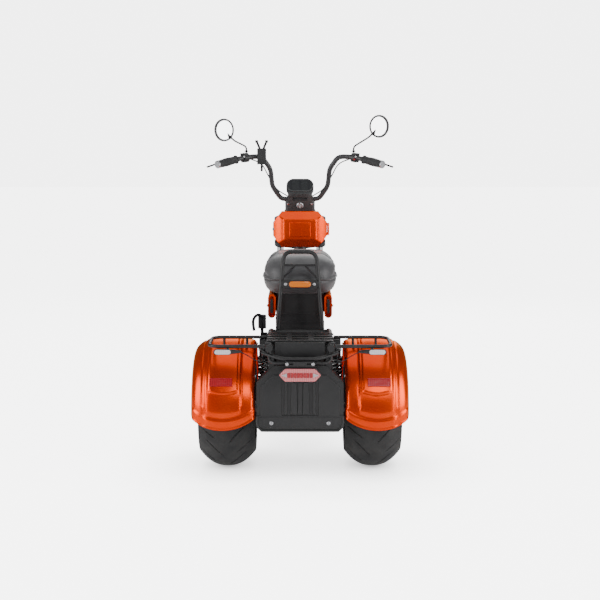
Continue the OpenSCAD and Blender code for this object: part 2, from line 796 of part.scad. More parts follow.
module headlamp() {
    z = lamp_along;
    color(black) datum() translate([0, lamp_y, lamp_z]) rotate([-90, 0, 0]) {
        cylinder(h = 60, r = lamp_r);
        translate([0, 0, 60]) cylinder(h = 10, r = lamp_r + 6);
    }
    color(black) steer_frame() {
        for (side = [-1, 1]) scale_x(side)
            block([60, fork_offset + stanchion_r + 4 + seat_gap, z - 24],
                [leg_x + 8, fork_offset + 50, z - 1]);
    }
}
module front_turn_lamps() {
    z = along(box_z) - 40;
    color(amber) steer_frame() for (side = [-1, 1]) scale_x(side)
        translate([leg_x + 4, fork_offset + stanchion_r + 4 + seat_gap, z]) rotate([-90, 0, 0]) {
            translate([-4, 0, 0]) cylinder(h = 12, r = 6);
            translate([4, 0, 12]) cylinder(h = 34, r = 15);
        }
}
module brake_calliper() {
    color(grey) steer_frame() translate([0, fork_offset, 0]) difference() {
        block([disc_x - 17, -disc_r - 6, 18], [disc_x + 13, -62, 62]);
        translate([disc_x, 0, 0]) along_x(-disc_t / 2 - 2, disc_t / 2 + 2, disc_r + 5);
    }
    color(grey) steer_frame() translate([-leg_x, fork_offset, 0])
        block([-8, -64, 24], [leg_x + disc_x - 17, -slider_r - seat_gap, 54]);
}

// ---- Handlebar and its fittings ----

// The right half of the handlebar, from the middle to its end
function bar_half_path() = let (y = axis_y(bar_z), top = bar_z + bar_rise) [
    [0, y, bar_z], [84, y, bar_z], [124, y - 36, bar_z + 60], [130, y - 62, top - 55],
    [168, y - 84, top], [214, y - 92, top], [bar_half - 83, y - 128, top - 8], [bar_half, y - 203, top - 30]
];
function flip(p) = [for (i = [len(p) - 1 : -1 : 1]) [-p[i][0], p[i][1], p[i][2]]];
grip_end = bar_half_path()[7];
grip_start = bar_half_path()[6];
grip_dir = unit(grip_end - grip_start);
// Brings children from the Z axis to the axis of the right grip
module on_grip(from_end) {
    d = grip_dir;
    translate(grip_end - d * from_end) rotate([0, acos(d[2]), atan2(d[1], d[0])]) children();
}
module handlebar() {
    half = bar_half_path();
    color(black) datum() tube(rounded(concat(flip(half), half), 20, 3), bar_r, 12);
}
grip_len = 104;
module grip(side) {
    color(grey) datum() scale_x(side) on_grip(grip_len) difference() {
        union() {
            cylinder(h = grip_len + 4, r = 16);
            cylinder(h = 6, r = 20);
            translate([0, 0, grip_len]) cylinder(h = 7, r = 13);
        }
        translate([0, 0, -1]) cylinder(h = grip_len + 1 + seat_gap, r = bar_r + seat_gap);
    }
}
module grips() { for (side = [-1, 1]) grip(side); }
// Switch housings clamp the bar just inside the grips
switch_at = 0.52;
switch_mid = bar_half_path()[5] * (1 - switch_at) + grip_start * switch_at;
switch_dir = unit(grip_start - bar_half_path()[5]);
module on_switch() {
    d = switch_dir;
    translate(switch_mid) rotate([0, acos(d[2]), atan2(d[1], d[0])]) children();
}
module switch_housing(side) {
    color(black) datum() scale_x(side) on_switch() difference() {
        union() {
            translate([0, 0, -12]) cylinder(h = 24, r = 19);
            block([-20, -8, -11], [20, 22, 11]);
        }
        translate([0, 0, -30]) cylinder(h = 60, r = bar_r + 2 * seat_gap);
    }
}
module switches() { for (side = [-1, 1]) switch_housing(side); }

function lever_start() = switch_mid + [16, 22, -4];
module brake_lever(side) {
    a = lever_start();
    b = grip_end + [58, 30, -14];
    color(black) datum() scale_x(side)
        tube(rounded([a, a + [34, -6, -4], b + [-52, 38, 18], b], 20), 5, 8, 4);
}
module brake_levers() { for (side = [-1, 1]) brake_lever(side); }

mirror_r = 50;
mirror_yaw = 37;
// side, and the centre of the mirror's head
module mirror_arm(side, x, z) {
    base = switch_mid + [-4, 8, 21.7];
    head = [x, base[1] + 4, z];
    color(black) datum() scale_x(side) {
        tube(rounded([base, base + [0, 2, 26], head + [-44, 6, -46], head + [-4, 8, -4]], 14), 4, 8);
        translate(head) rotate([0, 0, -mirror_yaw]) rotate([90, 0, 0]) rotate_extrude()
            polygon([
                [0, 6], [mirror_r, 6], [mirror_r, 0],
                [mirror_r - 8, -9], [mirror_r - 26, -15], [0, -17]
            ]);
    }
}
module mirror_left() { mirror_arm(-1, 334, 1296); }
module mirror_right() { mirror_arm(1, 348, 1312); }

module handlebar_riser() {
    color(black) steer_frame() difference() {
        union() {
            block([-riser_half + 12, -15, top_clamp + clamp_t], [riser_half - 12, 15, bar_t]);
            for (s = [-1, 1]) translate([s * (riser_half - 12), 0, top_clamp + clamp_t])
                cylinder(h = bar_t - top_clamp - clamp_t, r = 15);
            for (s = [-1, 1]) block([s * 44 - 11, -17, bar_t - 1], [s * 44 + 11, 17, bar_t + bar_r + 7]);
        }
        translate([0, 0, bar_t]) along_x(-90, 90, bar_r + seat_gap);
    }
}
module ignition_lock() {
    color(silver) steer_frame() translate([0, -15 - seat_gap, lock_t]) rotate([90, 0, 0]) {
        cylinder(h = 5, r = 11);
        translate([-1.5, -6, 4]) cube([3, 12, 10]);
    }
}
module display() {
    color(black) steer_frame() translate([0, -8, bar_t]) {
        block([-32, -14, 19], [32, 2, 34]);
        for (s = [-1, 1]) block([s * 44 - 11, -9, bar_r + 7 + seat_gap], [s * 44 + 11, 3, 26]);
        block([-55, -9, 19], [55, 3, 26]);
        translate([0, -4, 58]) rotate([40, 0, 0]) translate([0, 0, -14])
            linear_extrude(28) rotate(90) slot_shape(32, 61);
    }
}
module phone_holder() {
    at = bar_half_path()[4];
    color(black) datum() scale_x(-1) translate([at[0], at[1], at[2]]) {
        translate([0, -20, 0]) {
            block([-20, -12, -34], [20, -2, 36]);
            for (s = [-1, 1]) scale_x(s) hull() {
                block([1, -10.5, 29], [11, -3.5, 31]);
                block([17, -10.5, 66], [27, -3.5, 68]);
            }
            for (s = [-1, 1]) scale_x(s) block([15, -16.5, 61], [28, -1.5, 72]);
            block([-5, -10.5, -64], [5, -3.5, -30]);
            block([-9, -2, -9], [9, 20 - bar_r - 1.4, 9]);
        }
    }
}
// Cables run from the levers into the headlamp's shell, and are held all the way
function cable_route() = let (
    a = lever_start(), y = axis_y(bar_z), top = lamp_z + sqrt(lamp_r * lamp_r - 26.5 * 26.5)
) [
    a + [-8, 6, 2], a + [-30, 18, 0], [168, y - 46, bar_z + bar_rise - 30], [140, y - 10, bar_z + 100],
    [104, y + 24, bar_z + 40], [56, y + 74, bar_z + 10], [30, lamp_y + 16, top + 20], [30, lamp_y + 16, top + seat_gap]
];
module brake_cables() {
    color(black) datum() for (side = [-1, 1]) scale_x(side) tube(rounded(cable_route(), 30, 3), 3, 8);
}

main_frame();
footboard();
battery_box();
side_panels();
seat_pan();
seat();
grab_hoop();
hoop_reflector();
rear_fender_left();
rear_fender_right();
fender_rail_left();
fender_rail_right();
luggage_rack();
controller_box();
rear_turn_lamps();
plate_lamp();
tail_lamp();
rear_cover();
swing_fork();
rear_axle();
shocks();
parking_brake();
storage_box();
box_door();
steering_head();
fork_left();
fork_right();
front_axle();
front_fender();
headlamp();
front_turn_lamps();
brake_calliper();
handlebar_riser();
ignition_lock();
handlebar();
display();
grips();
switches();
brake_levers();
mirror_left();
mirror_right();
phone_holder();
brake_cables();
rear_tyre_left();
rear_tyre_right();
rear_rim_left();
rear_rim_right();
front_tyre();
front_rim();
front_disc();
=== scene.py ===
"""Looks of a motorized three-wheel scooter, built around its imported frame."""

import json
import logging
import math
from dataclasses import dataclass, field
from enum import Enum
from typing import Callable, Sequence

import bmesh
import bpy
from mathutils import Matrix, Vector
from mathutils.bvhtree import BVHTree


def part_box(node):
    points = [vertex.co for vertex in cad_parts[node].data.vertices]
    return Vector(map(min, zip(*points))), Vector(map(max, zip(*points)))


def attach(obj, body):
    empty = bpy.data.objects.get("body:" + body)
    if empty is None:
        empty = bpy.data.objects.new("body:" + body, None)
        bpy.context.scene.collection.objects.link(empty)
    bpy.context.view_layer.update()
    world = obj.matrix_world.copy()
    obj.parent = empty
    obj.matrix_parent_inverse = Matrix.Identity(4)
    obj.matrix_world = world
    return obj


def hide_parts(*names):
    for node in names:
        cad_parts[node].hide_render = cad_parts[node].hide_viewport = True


Colour = tuple[float, float, float]
Point = tuple[float, float, float]

LOG = logging.getLogger("trike")
MM = 0.001

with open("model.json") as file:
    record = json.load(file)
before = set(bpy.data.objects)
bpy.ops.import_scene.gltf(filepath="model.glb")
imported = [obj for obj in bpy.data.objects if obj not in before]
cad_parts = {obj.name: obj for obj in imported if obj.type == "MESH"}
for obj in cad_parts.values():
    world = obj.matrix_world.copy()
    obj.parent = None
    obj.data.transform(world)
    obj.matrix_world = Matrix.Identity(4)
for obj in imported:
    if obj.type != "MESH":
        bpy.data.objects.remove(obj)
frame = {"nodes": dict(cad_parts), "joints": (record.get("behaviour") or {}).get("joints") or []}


class Body(Enum):
    """The moving bodies that a piece can ride on."""

    FRAME = "frame"
    STEERING = "steering"
    WHEEL_LEFT = "rear_wheel_left"
    WHEEL_RIGHT = "rear_wheel_right"
    WHEEL_FRONT = "front_wheel"
    DOOR = "box_door"


def joint_place(name: str) -> Vector:
    """Finds where a joint's axis passes.

    Args:
        name: The joint's name.

    Returns:
        A point on its axis, in metres.
    """
    return Vector(next(j["pos_m"] for j in frame["joints"] if j["name"] == name))


def smooth_step(value: float, low: float, high: float) -> float:
    """Eases from 0 at low to 1 at high.

    Args:
        value: Where to read the curve.
        low: The value at which it leaves 0.
        high: The value at which it reaches 1.

    Returns:
        The eased share.
    """
    t = min(1.0, max(0.0, (value - low) / (high - low)))
    return t * t * (3.0 - 2.0 * t)


def mm(*points: tuple[float, ...]) -> list[tuple[float, ...]]:
    """Turns points given in millimetres into metres.

    Args:
        *points: The points.

    Returns:
        The points in metres.
    """
    return [tuple(value * MM for value in point) for point in points]


def oval(half_w: float, half_h: float, steps: int = 12) -> list[tuple[float, float]]:
    """Works out an outline with round ends.

    Args:
        half_w: Its half width.
        half_h: Its half height.
        steps: Steps in each round end.

    Returns:
        The outline.
    """
    made = []
    for side, start in ((1, -90), (-1, 90)):
        for i in range(steps + 1):
            a = math.radians(start + 180 * i / steps)
            made.append((side * (half_w - half_h) + half_h * math.cos(a), half_h * math.sin(a)))
    return made


def facing(at: Sequence[float], direction: Sequence[float], up: Sequence[float] = (0, 0, 1)) -> Matrix:
    """Makes a place whose own Z looks along a direction, and whose own Y is near up.

    Args:
        at: The place's origin.
        direction: Where its Z axis points.
        up: Roughly where its Y axis points.

    Returns:
        The place as a matrix.
    """
    z = Vector(direction).normalized()
    u = Vector(up)
    if abs(z.dot(u.normalized())) > 0.99:
        u = Vector((0, 1, 0))
    x = u.cross(z).normalized()
    y = z.cross(x)
    turn = Matrix((x, y, z)).transposed().to_4x4()
    return Matrix.Translation(Vector(at)) @ turn


def rounded_route(points: Sequence[Sequence[float]], reach: float, steps: int = 6) -> list[Vector]:
    """Rounds the corners of a route.

    Args:
        points: The route's corners, in metres.
        reach: How far from a corner its curve begins.
        steps: Steps in each curve.

    Returns:
        The points of the smooth route.
    """
    pts = [Vector(p) for p in points]
    made = [pts[0]]
    for before, here, after in zip(pts, pts[1:], pts[2:]):
        a = here + (before - here).normalized() * min(reach, (before - here).length * 0.45)
        b = here + (after - here).normalized() * min(reach, (after - here).length * 0.45)
        for i in range(steps + 1):
            t = i / steps
            made.append(a * (1 - t) ** 2 + here * (2 * t * (1 - t)) + b * t * t)
    return made + [pts[-1]]


# ---- Finishes ----


class Shader:
    """The node tree of one material while it is being made."""

    def __init__(self, name: str) -> None:
        """Starts a material with one principled shader.

        Args:
            name: The material's name.
        """
        self.material = bpy.data.materials.new(name)
        self.material.use_nodes = True
        self.tree = self.material.node_tree
        self.surface = self.tree.nodes["Principled BSDF"]
        self.coords = self.tree.nodes.new("ShaderNodeTexCoord").outputs["Object"]

    def set(self, **values: object) -> None:
        """Sets the surface's own sockets.

        Args:
            values: Socket names, with underscores for spaces, and their values.
        """
        for key, value in values.items():
            if isinstance(value, tuple):
                value = (*value, 1.0)
            self.surface.inputs[key.replace("_", " ")].default_value = value

    def noise(self, scale: float, detail: float = 4.0, stretch: Point = (1, 1, 1)) -> bpy.types.NodeSocket:
        """Adds a noise read in the object's own coordinates.

        Args:
            scale: How fine it is.
            detail: How many finer layers it has.
            stretch: Scale along each axis.

        Returns:
            Its value socket.
        """
        place = self.tree.nodes.new("ShaderNodeMapping")
        place.inputs["Scale"].default_value = stretch
        self.tree.links.new(self.coords, place.inputs["Vector"])
        made = self.tree.nodes.new("ShaderNodeTexNoise")
        made.inputs["Scale"].default_value = scale
        made.inputs["Detail"].default_value = detail
        self.tree.links.new(place.outputs["Vector"], made.inputs["Vector"])
        return made.outputs["Fac"]

    def cells(self, scale: float, feature: str = "F1") -> bpy.types.NodeSocket:
        """Adds a cell pattern read in the object's own coordinates.

        Args:
            scale: How fine it is.
            feature: Which distance it gives.

        Returns:
            Its distance socket.
        """
        made = self.tree.nodes.new("ShaderNodeTexVoronoi")
        made.feature = feature
        made.inputs["Scale"].default_value = scale
        self.tree.links.new(self.coords, made.inputs["Vector"])
        return made.outputs["Distance"]

    def wave(self, scale: float, axis: str, distortion: float = 0.0) -> bpy.types.NodeSocket:
        """Adds straight bands across one axis.

        Args:
            scale: How fine they are.
            axis: The axis that they are counted along.
            distortion: How far they wander.

        Returns:
            Their value socket.
        """
        made = self.tree.nodes.new("ShaderNodeTexWave")
        made.bands_direction = axis
        made.inputs["Scale"].default_value = scale
        made.inputs["Distortion"].default_value = distortion
        self.tree.links.new(self.coords, made.inputs["Vector"])
        return made.outputs["Fac"]

    def ramp(self, value: bpy.types.NodeSocket,
             stops: Sequence[tuple[float, Colour]]) -> bpy.types.NodeSocket:
        """Turns a value into a colour.

        Args:
            value: The socket to read.
            stops: Places and colours, in order.

        Returns:
            The colour socket.
        """
        made = self.tree.nodes.new("ShaderNodeValToRGB")
        bar = made.color_ramp
        while len(bar.elements) < len(stops):
            bar.elements.new(0.5)
        for element, (place, colour) in zip(bar.elements, stops):
            element.position = place
            element.color = (*colour, 1.0)
        self.tree.links.new(value, made.inputs["Fac"])
        return made.outputs["Color"]

    def span(self, value: bpy.types.NodeSocket, low: float, high: float) -> bpy.types.NodeSocket:
        """Maps a value from 0..1 to a narrower span.

        Args:
            value: The socket to read.
            low: Result at 0.
            high: Result at 1.

        Returns:
            The mapped socket.
        """
        made = self.tree.nodes.new("ShaderNodeMapRange")
        made.inputs["To Min"].default_value = low
        made.inputs["To Max"].default_value = high
        self.tree.links.new(value, made.inputs["Value"])
        return made.outputs["Result"]

    def colour(self, socket: bpy.types.NodeSocket) -> None:
        """Colours the surface from a socket.

        Args:
            socket: Where the colour comes from.
        """
        self.tree.links.new(socket, self.surface.inputs["Base Color"])

    def roughness(self, socket: bpy.types.NodeSocket) -> None:
        """Takes the surface's roughness from a socket.

        Args:
            socket: Where the roughness comes from.
        """
        self.tree.links.new(socket, self.surface.inputs["Roughness"])

    def link_camera_glow(self, strength: float, bounce: float) -> None:
        """Makes the floor glow to the camera, dimmed close under the trike as a painted contact shadow from
        ambient occlusion, and shed a little light.

        Args:
            strength: How strongly it glows to the camera.
            bounce: How strongly it glows to everything.
        """
        seen = self.tree.nodes.new("ShaderNodeLightPath").outputs["Is Camera Ray"]
        level = self.tree.nodes.new("ShaderNodeMath")
        level.operation = "MULTIPLY_ADD"
        level.inputs[2].default_value = bounce
        # Painted contact shadow: ambient occlusion dims the camera-only glow close under the trike.
        near = self.tree.nodes.new("ShaderNodeAmbientOcclusion")
        near.inputs["Distance"].default_value = 0.4
        shade = self.tree.nodes.new("ShaderNodeMath")
        shade.operation = "MULTIPLY"
        shade.inputs[1].default_value = strength
        self.tree.links.new(near.outputs["AO"], shade.inputs[0])
        self.tree.links.new(shade.outputs[0], level.inputs[1])
        self.tree.links.new(seen, level.inputs[0])
        self.tree.links.new(level.outputs[0], self.surface.inputs["Emission Strength"])

    def bump(self, height: bpy.types.NodeSocket, depth: float, strength: float = 0.5) -> None:
        """Adds a bump on top of those already there.

        Args:
            height: The height socket.
            depth: The height's real size, in metres.
            strength: Its share.
        """
        made = self.tree.nodes.new("ShaderNodeBump")
        made.inputs["Strength"].default_value = strength
        made.inputs["Distance"].default_value = depth
        self.tree.links.new(height, made.inputs["Height"])
        normal = self.surface.inputs["Normal"]
        if normal.is_linked:
            self.tree.links.new(normal.links[0].from_socket, made.inputs["Normal"])
        self.tree.links.new(made.outputs["Normal"], normal)


@dataclass(frozen=True)
class Finish:
    """One finish: its slot in the record and its colours."""

    slot: str
    base: Colour
    # Second colour: random wear, dust and tarnish in most finishes, and painted shade along the ribs in
    # lenses.
    worn_and_rib_shade: Colour

    def shade(self, shader: Shader) -> None:
        """Adds what sets this kind of finish apart.

        Args:
            shader: The material's graph.
        """
        raise NotImplementedError

    def material(self) -> bpy.types.Material:
        """Makes the material once, and gives it again after that.

        Returns:
            The material.
        """
        name = f"{self.slot}_{type(self).__name__}_{abs(round(sum(self.base) * 1000))}"
        found = bpy.data.materials.get(name)
        if found:
            return found
        shader = Shader(name)
        self.shade(shader)
        return shader.material


@dataclass(frozen=True)
class Paint(Finish):
    """Sprayed paint with flakes under a clear coat."""

    flake: float = 0.86
    coat: float = 0.06
    rough: float = 0.27

    def shade(self, shader: Shader) -> None:
        """Adds cloudy colour, flakes and the faint waves of a sprayed coat.

        Args:
            shader: The material's graph.
        """
        shader.set(Metallic=self.flake, Coat_Weight=self.coat, Coat_Roughness=0.06, Coat_IOR=1.5)
        shader.set(Specular_Tint=(1.0, 0.68, 0.02))
        shader.colour(shader.ramp(shader.noise(5.0, 3.0), [(0.3, self.worn_and_rib_shade), (0.7, self.base)]))
        shader.roughness(shader.span(shader.noise(900.0, 1.0), self.rough - 0.03, self.rough + 0.05))
        shader.bump(shader.noise(1500.0, 1.0), 0.0001, 0.02)
        shader.bump(shader.noise(60.0, 1.0), 0.0002, 0.008)


@dataclass(frozen=True)
class Coat(Finish):
    """Powder coat with a fine pebbled skin."""

    rough: float = 0.42
    metal: float = 0.0

    def shade(self, shader: Shader) -> None:
        """Adds dust in the colour and a pebbled bump.

        Args:
            shader: The material's graph.
        """
        shader.set(Metallic=self.metal, Specular_IOR_Level=0.5)
        shader.colour(shader.ramp(shader.noise(14.0, 5.0), [(0.35, self.base), (0.75, self.worn_and_rib_shade)]))
        shader.roughness(shader.span(shader.noise(40.0, 4.0), self.rough - 0.07, self.rough + 0.1))
        shader.bump(shader.noise(700.0, 2.0), 0.0003, 0.18)


@dataclass(frozen=True)
class Moulded(Finish):
    """Grained moulded plastic."""

    rough: float = 0.5
    grain: float = 900.0

    def shade(self, shader: Shader) -> None:
        """Adds a cell grain and slight scuffs.

        Args:
            shader: The material's graph.
        """
        shader.colour(shader.ramp(shader.noise(9.0, 6.0), [(0.35, self.base), (0.8, self.worn_and_rib_shade)]))
        shader.roughness(shader.span(shader.noise(60.0, 3.0), self.rough - 0.08, self.rough + 0.12))
        shader.bump(shader.cells(self.grain), 0.0003, 0.3)
        shader.bump(shader.noise(30.0, 3.0), 0.0005, 0.05)


@dataclass(frozen=True)
class Leather(Finish):
    """Leatherette with a pebble grain and creases."""

    def shade(self, shader: Shader) -> None:
        """Adds grain, soft creases and a light sheen.

        Args:
            shader: The material's graph.
        """
        shader.set(Sheen_Weight=0.25, Sheen_Roughness=0.4)
        shader.colour(shader.ramp(shader.noise(11.0, 6.0), [(0.3, self.base), (0.75, self.worn_and_rib_shade)]))
        shader.roughness(shader.span(shader.noise(25.0, 4.0), 0.36, 0.52))
        shader.bump(shader.noise(9.0, 3.0, (1.0, 1.6, 1.0)), 0.002, 0.25)
        shader.bump(shader.cells(420.0, "SMOOTH_F1"), 0.0006, 0.6)


@dataclass(frozen=True)
class Rubber(Finish):
    """Dull rubber with dust in its grain."""

    rough: float = 0.72

    def shade(self, shader: Shader) -> None:
        """Adds dust, and a fine sandy bump.

        Args:
            shader: The material's graph.
        """
        shader.set(Specular_IOR_Level=0.35)
        shader.colour(shader.ramp(shader.noise(16.0, 8.0), [(0.38, self.base), (0.72, self.worn_and_rib_shade)]))
        shader.roughness(shader.span(shader.noise(35.0, 4.0), self.rough - 0.1, self.rough + 0.12))
        shader.bump(shader.noise(380.0, 4.0), 0.0006, 0.35)


@dataclass(frozen=True)
class Metal(Finish):
    """Bare or anodised metal, cast, turned or brushed."""

    rough: float = 0.28
    grain: Point = (1.0, 1.0, 1.0)
    depth: float = 0.12

    def shade(self, shader: Shader) -> None:
        """Adds streaks along the grain and a soft tarnish.

        Args:
            shader: The material's graph.
        """
        shader.set(Metallic=1.0)
        shader.colour(shader.ramp(shader.noise(8.0, 5.0), [(0.3, self.worn_and_rib_shade), (0.65, self.base)]))
        streak = shader.noise(260.0, 3.0, self.grain)
        shader.roughness(shader.span(streak, self.rough - 0.08, self.rough + 0.14))
        shader.bump(streak, 0.0002, self.depth)


@dataclass(frozen=True)
class Lens(Finish):
    """Coloured lamp plastic with moulded ribs behind its face."""

    ribs: float = 40.0
    clear: float = 0.35

    def shade(self, shader: Shader) -> None:
        """Adds ribs with painted shade along their troughs, a glossy face and some depth.

        Args:
            shader: The material's graph.
        """
        shader.set(Transmission_Weight=self.clear, IOR=1.49, Coat_Weight=0.35, Coat_Roughness=0.05)
        # The second colour falls in the rib troughs: painted shade of the ribs.
        shader.colour(shader.ramp(shader.wave(self.ribs, "X"), [(0.05, self.worn_and_rib_shade), (0.3, self.base)]))
        shader.roughness(shader.span(shader.noise(20.0, 2.0), 0.14, 0.24))
        shader.bump(shader.wave(self.ribs, "X"), 0.0004, 0.14)
        shader.bump(shader.wave(self.ribs, "Z"), 0.0004, 0.14)


@dataclass(frozen=True)
class Silver(Finish):
    """Silvered glass."""

    def shade(self, shader: Shader) -> None:
        """Adds a nearly perfect mirror with faint waves.

        Args:
            shader: The material's graph.
        """
        shader.set(Metallic=1.0)
        shader.colour(shader.ramp(shader.noise(6.0, 2.0), [(0.3, self.worn_and_rib_shade), (0.6, self.base)]))
        shader.roughness(shader.span(shader.noise(15.0, 2.0), 0.02, 0.06))
        shader.bump(shader.noise(4.0, 1.0), 0.0003, 0.05)


ORANGE = Paint("orange_paint", (0.95, 0.066, 0.0), (0.8, 0.034, 0.0))
FRAME_BLACK = Coat("frame_black", (0.009, 0.009, 0.01), (0.018, 0.018, 0.019))
BAR_GREY = Coat("bar_grey", (0.022, 0.022, 0.024), (0.036, 0.036, 0.038), rough=0.34)
BLACK_PLASTIC = Moulded("black_plastic", (0.011, 0.011, 0.012), (0.022, 0.022, 0.023), rough=0.42)
CASE_GREY = Moulded("black_plastic", (0.038, 0.04, 0.041), (0.052, 0.054, 0.055), rough=0.5)
SEAT_LEATHER = Leather("seat_leather", (0.046, 0.046, 0.049), (0.07, 0.07, 0.073))
AMBER_LENS = Lens("amber_lens", (0.8, 0.2, 0.0), (0.62, 0.12, 0.0), clear=0.0)
LOCK_FACE = Moulded("alloy_satin", (0.5, 0.5, 0.5), (0.38, 0.38, 0.38), rough=0.34)
HEADLAMP_GLASS = Lens("clear_lens", (0.96, 0.96, 0.97), (0.9, 0.9, 0.92), ribs=30.0, clear=0.85)
RED_LENS = Lens("red_lens", (0.42, 0.01, 0.016), (0.26, 0.005, 0.009), clear=0.0)
ROSE_LENS = Lens("red_lens", (0.78, 0.24, 0.25), (0.62, 0.15, 0.16), clear=0.1)
CLEAR_LENS = Lens("clear_lens", (0.92, 0.92, 0.93), (0.78, 0.78, 0.8), clear=0.25)
CAST_GREY = Metal("cast_grey", (0.16, 0.16, 0.165), (0.09, 0.09, 0.092), rough=0.5, depth=0.4)
SPRING_BLACK = Coat("spring_black", (0.009, 0.009, 0.01), (0.018, 0.018, 0.019), rough=0.2)
SATIN_ALLOY = Metal("alloy_satin", (0.6, 0.6, 0.62), (0.42, 0.42, 0.44), grain=(1.0, 1.0, 12.0))
BLACK_ALLOY = Metal("alloy_black", (0.03, 0.03, 0.032), (0.016, 0.016, 0.017), rough=0.38)
CHROME = Metal("fork_chrome", (0.78, 0.78, 0.8), (0.66, 0.66, 0.68), rough=0.12, depth=0.03)
GRIP_RUBBER = Rubber("grip_rubber", (0.026, 0.027, 0.028), (0.045, 0.045, 0.047), rough=0.6)
CABLE_SLEEVE = Rubber("cable_sleeve", (0.014, 0.014, 0.015), (0.03, 0.03, 0.03), rough=0.45)
MIRROR_FACE = Silver("mirror_face", (0.93, 0.94, 0.95), (0.88, 0.89, 0.9))
TYRE_RUBBER = Rubber("tyre_rubber", (0.021, 0.021, 0.022), (0.04, 0.039, 0.038))
RIM_ALLOY = Metal("rim_alloy", (0.52, 0.53, 0.55), (0.36, 0.37, 0.39), rough=0.32)
SCREEN = Lens("black_plastic", (0.026, 0.028, 0.03), (0.02, 0.021, 0.024), ribs=8.0, clear=0.0)
DISC_STEEL = Metal("disc_steel", (0.55, 0.55, 0.57), (0.38, 0.38, 0.4), rough=0.24, depth=0.2)


# ---- Shared shapes ----


class Shape:
    """Geometry gathered for one piece, in the frame's own coordinates."""

    def __init__(self) -> None:
        """Starts with nothing."""
        self.bm = bmesh.new()

    def faces(self, points: Sequence[Sequence[float]], faces: Sequence[Sequence[int]],
              at: Matrix | None = None) -> None:
        """Adds points and the faces that join them.

        Args:
            points: The points.
            faces: Indices of each face's points.
            at: A place to put them in.
        """
        at = at or Matrix.Identity(4)
        verts = [self.bm.verts.new(at @ Vector(p)) for p in points]
        for face in faces:
            self.bm.faces.new([verts[i] for i in face])

    def grid(self, rows: Sequence[Sequence[Sequence[float]]], closed_rows: bool = False,
             closed_columns: bool = False) -> None:
        """Adds a sheet of four-sided faces through rows of points.

        Args:
            rows: The rows of points, each as long as the others.
            closed_rows: Whether each row's end joins its start.
            closed_columns: Whether the last row joins the first.
        """
        wide, tall = len(rows[0]), len(rows)
        verts = [[self.bm.verts.new(Vector(p)) for p in row] for row in rows]
        for i in range(tall if closed_columns else tall - 1):
            for j in range(wide if closed_rows else wide - 1):
                a, b = verts[i], verts[(i + 1) % tall]
                self.bm.faces.new([a[j], a[(j + 1) % wide], b[(j + 1) % wide], b[j]])

    def prism(self, outline: Sequence[tuple[float, float]], low: float, high: float, at: Matrix) -> None:
        """Adds a straight prism.

        Args:
            outline: Its outline in the place's X and Y.
            low: Where it starts along the place's Z.
            high: Where it ends.
            at: The place.
        """
        n = len(outline)
        points = [(x, y, z) for z in (low, high) for x, y in outline]
        sides = [(i, (i + 1) % n, n + (i + 1) % n, n + i) for i in range(n)]
        self.faces(points, [tuple(range(n))[::-1], tuple(range(n, 2 * n)), *sides], at)

    def box(self, low: Sequence[float], high: Sequence[float], at: Matrix | None = None) -> None:
        """Adds a box between two corners, in a place.

        Args:
            low: Its lowest corner.
            high: Its highest corner.
            at: A place to put it in.
        """
        outline = [(low[0], low[1]), (high[0], low[1]), (high[0], high[1]), (low[0], high[1])]
        self.prism(outline, low[2], high[2], at or Matrix.Identity(4))

    def lathe(self, profile: Sequence[tuple[float, float]], at: Matrix, turns: int = 48) -> None:
        """Adds a turned shape about the place's Z.

        Args:
            profile: Radius and height of each point; radius 0 closes an end.
            at: The place.
            turns: Faces round it.
        """
        rings = []
        for r, z in profile:
            count = 1 if r < 1e-7 else turns
            angles = [2 * math.pi * i / turns for i in range(count)]
            spots = [Vector((r * math.cos(a), r * math.sin(a), z)) for a in angles]
            rings.append([self.bm.verts.new(at @ spot) for spot in spots])
        for a, b in zip(rings, rings[1:]):
            for i in range(turns):
                j = (i + 1) % turns
                corner = [a[i % len(a)], a[j % len(a)], b[j % len(b)], b[i % len(b)]]
                unique = list(dict.fromkeys(corner))
                if len(unique) > 2:
                    self.bm.faces.new(unique)

    def tube(self, route: Sequence[Vector], radius: float | Callable[[float], float], sides: int = 12,
             loop: bool = False) -> None:
        """Adds a tube along a route.

        Args:
            route: The centreline's points.
            radius: Its radius, or a function of the share of its length.
            sides: Faces round it.
            loop: Whether its end joins its start.
        """
        n = len(route)
        up = Vector((0.0, 0.0, 1.0))
        rings = []
        for i, here in enumerate(route):
            ahead = route[(i + 1) % n] if loop or i < n - 1 else here
            behind = route[i - 1] if loop or i > 0 else here
            along = (ahead - behind).normalized()
            side = along.cross(up)
            if side.length < 0.05:
                side = along.cross(Vector((1.0, 0.0, 0.0)))
            side.normalize()
            up = side.cross(along).normalized()
            r = radius(i / max(1, n - 1)) if callable(radius) else radius
            turn = [2 * math.pi * k / sides for k in range(sides)]
            rings.append([here + side * (r * math.cos(a)) + up * (r * math.sin(a)) for a in turn])
        verts = [[self.bm.verts.new(p) for p in ring] for ring in rings]
        for i in range(n if loop else n - 1):
            a, b = verts[i], verts[(i + 1) % n]
            for k in range(sides):
                self.bm.faces.new([a[k], a[(k + 1) % sides], b[(k + 1) % sides], b[k]])
        if not loop:
            self.bm.faces.new(verts[0])
            self.bm.faces.new(verts[-1][::-1])

    def bolt(self, at: Sequence[float], direction: Sequence[float], size: float, sides: int = 6) -> None:
        """Adds a bolt head on its washer.

        Args:
            at: Where it sits.
            direction: Where its head points.
            size: Its head's radius.
            sides: Sides of the head.
        """
        place = facing(at, direction)
        washer = [(0, 0), (size * 1.35, 0), (size * 1.35, size * 0.18), (size * 1.2, size * 0.26),
                  (0, size * 0.26)]
        head = [(0, 0), (size, 0), (size, size * 0.85), (size * 0.85, size), (size * 0.42, size)]
        self.lathe(washer, place, 24)
        self.lathe([*head, (size * 0.38, size * 0.6), (0, size * 0.6)], place, sides)

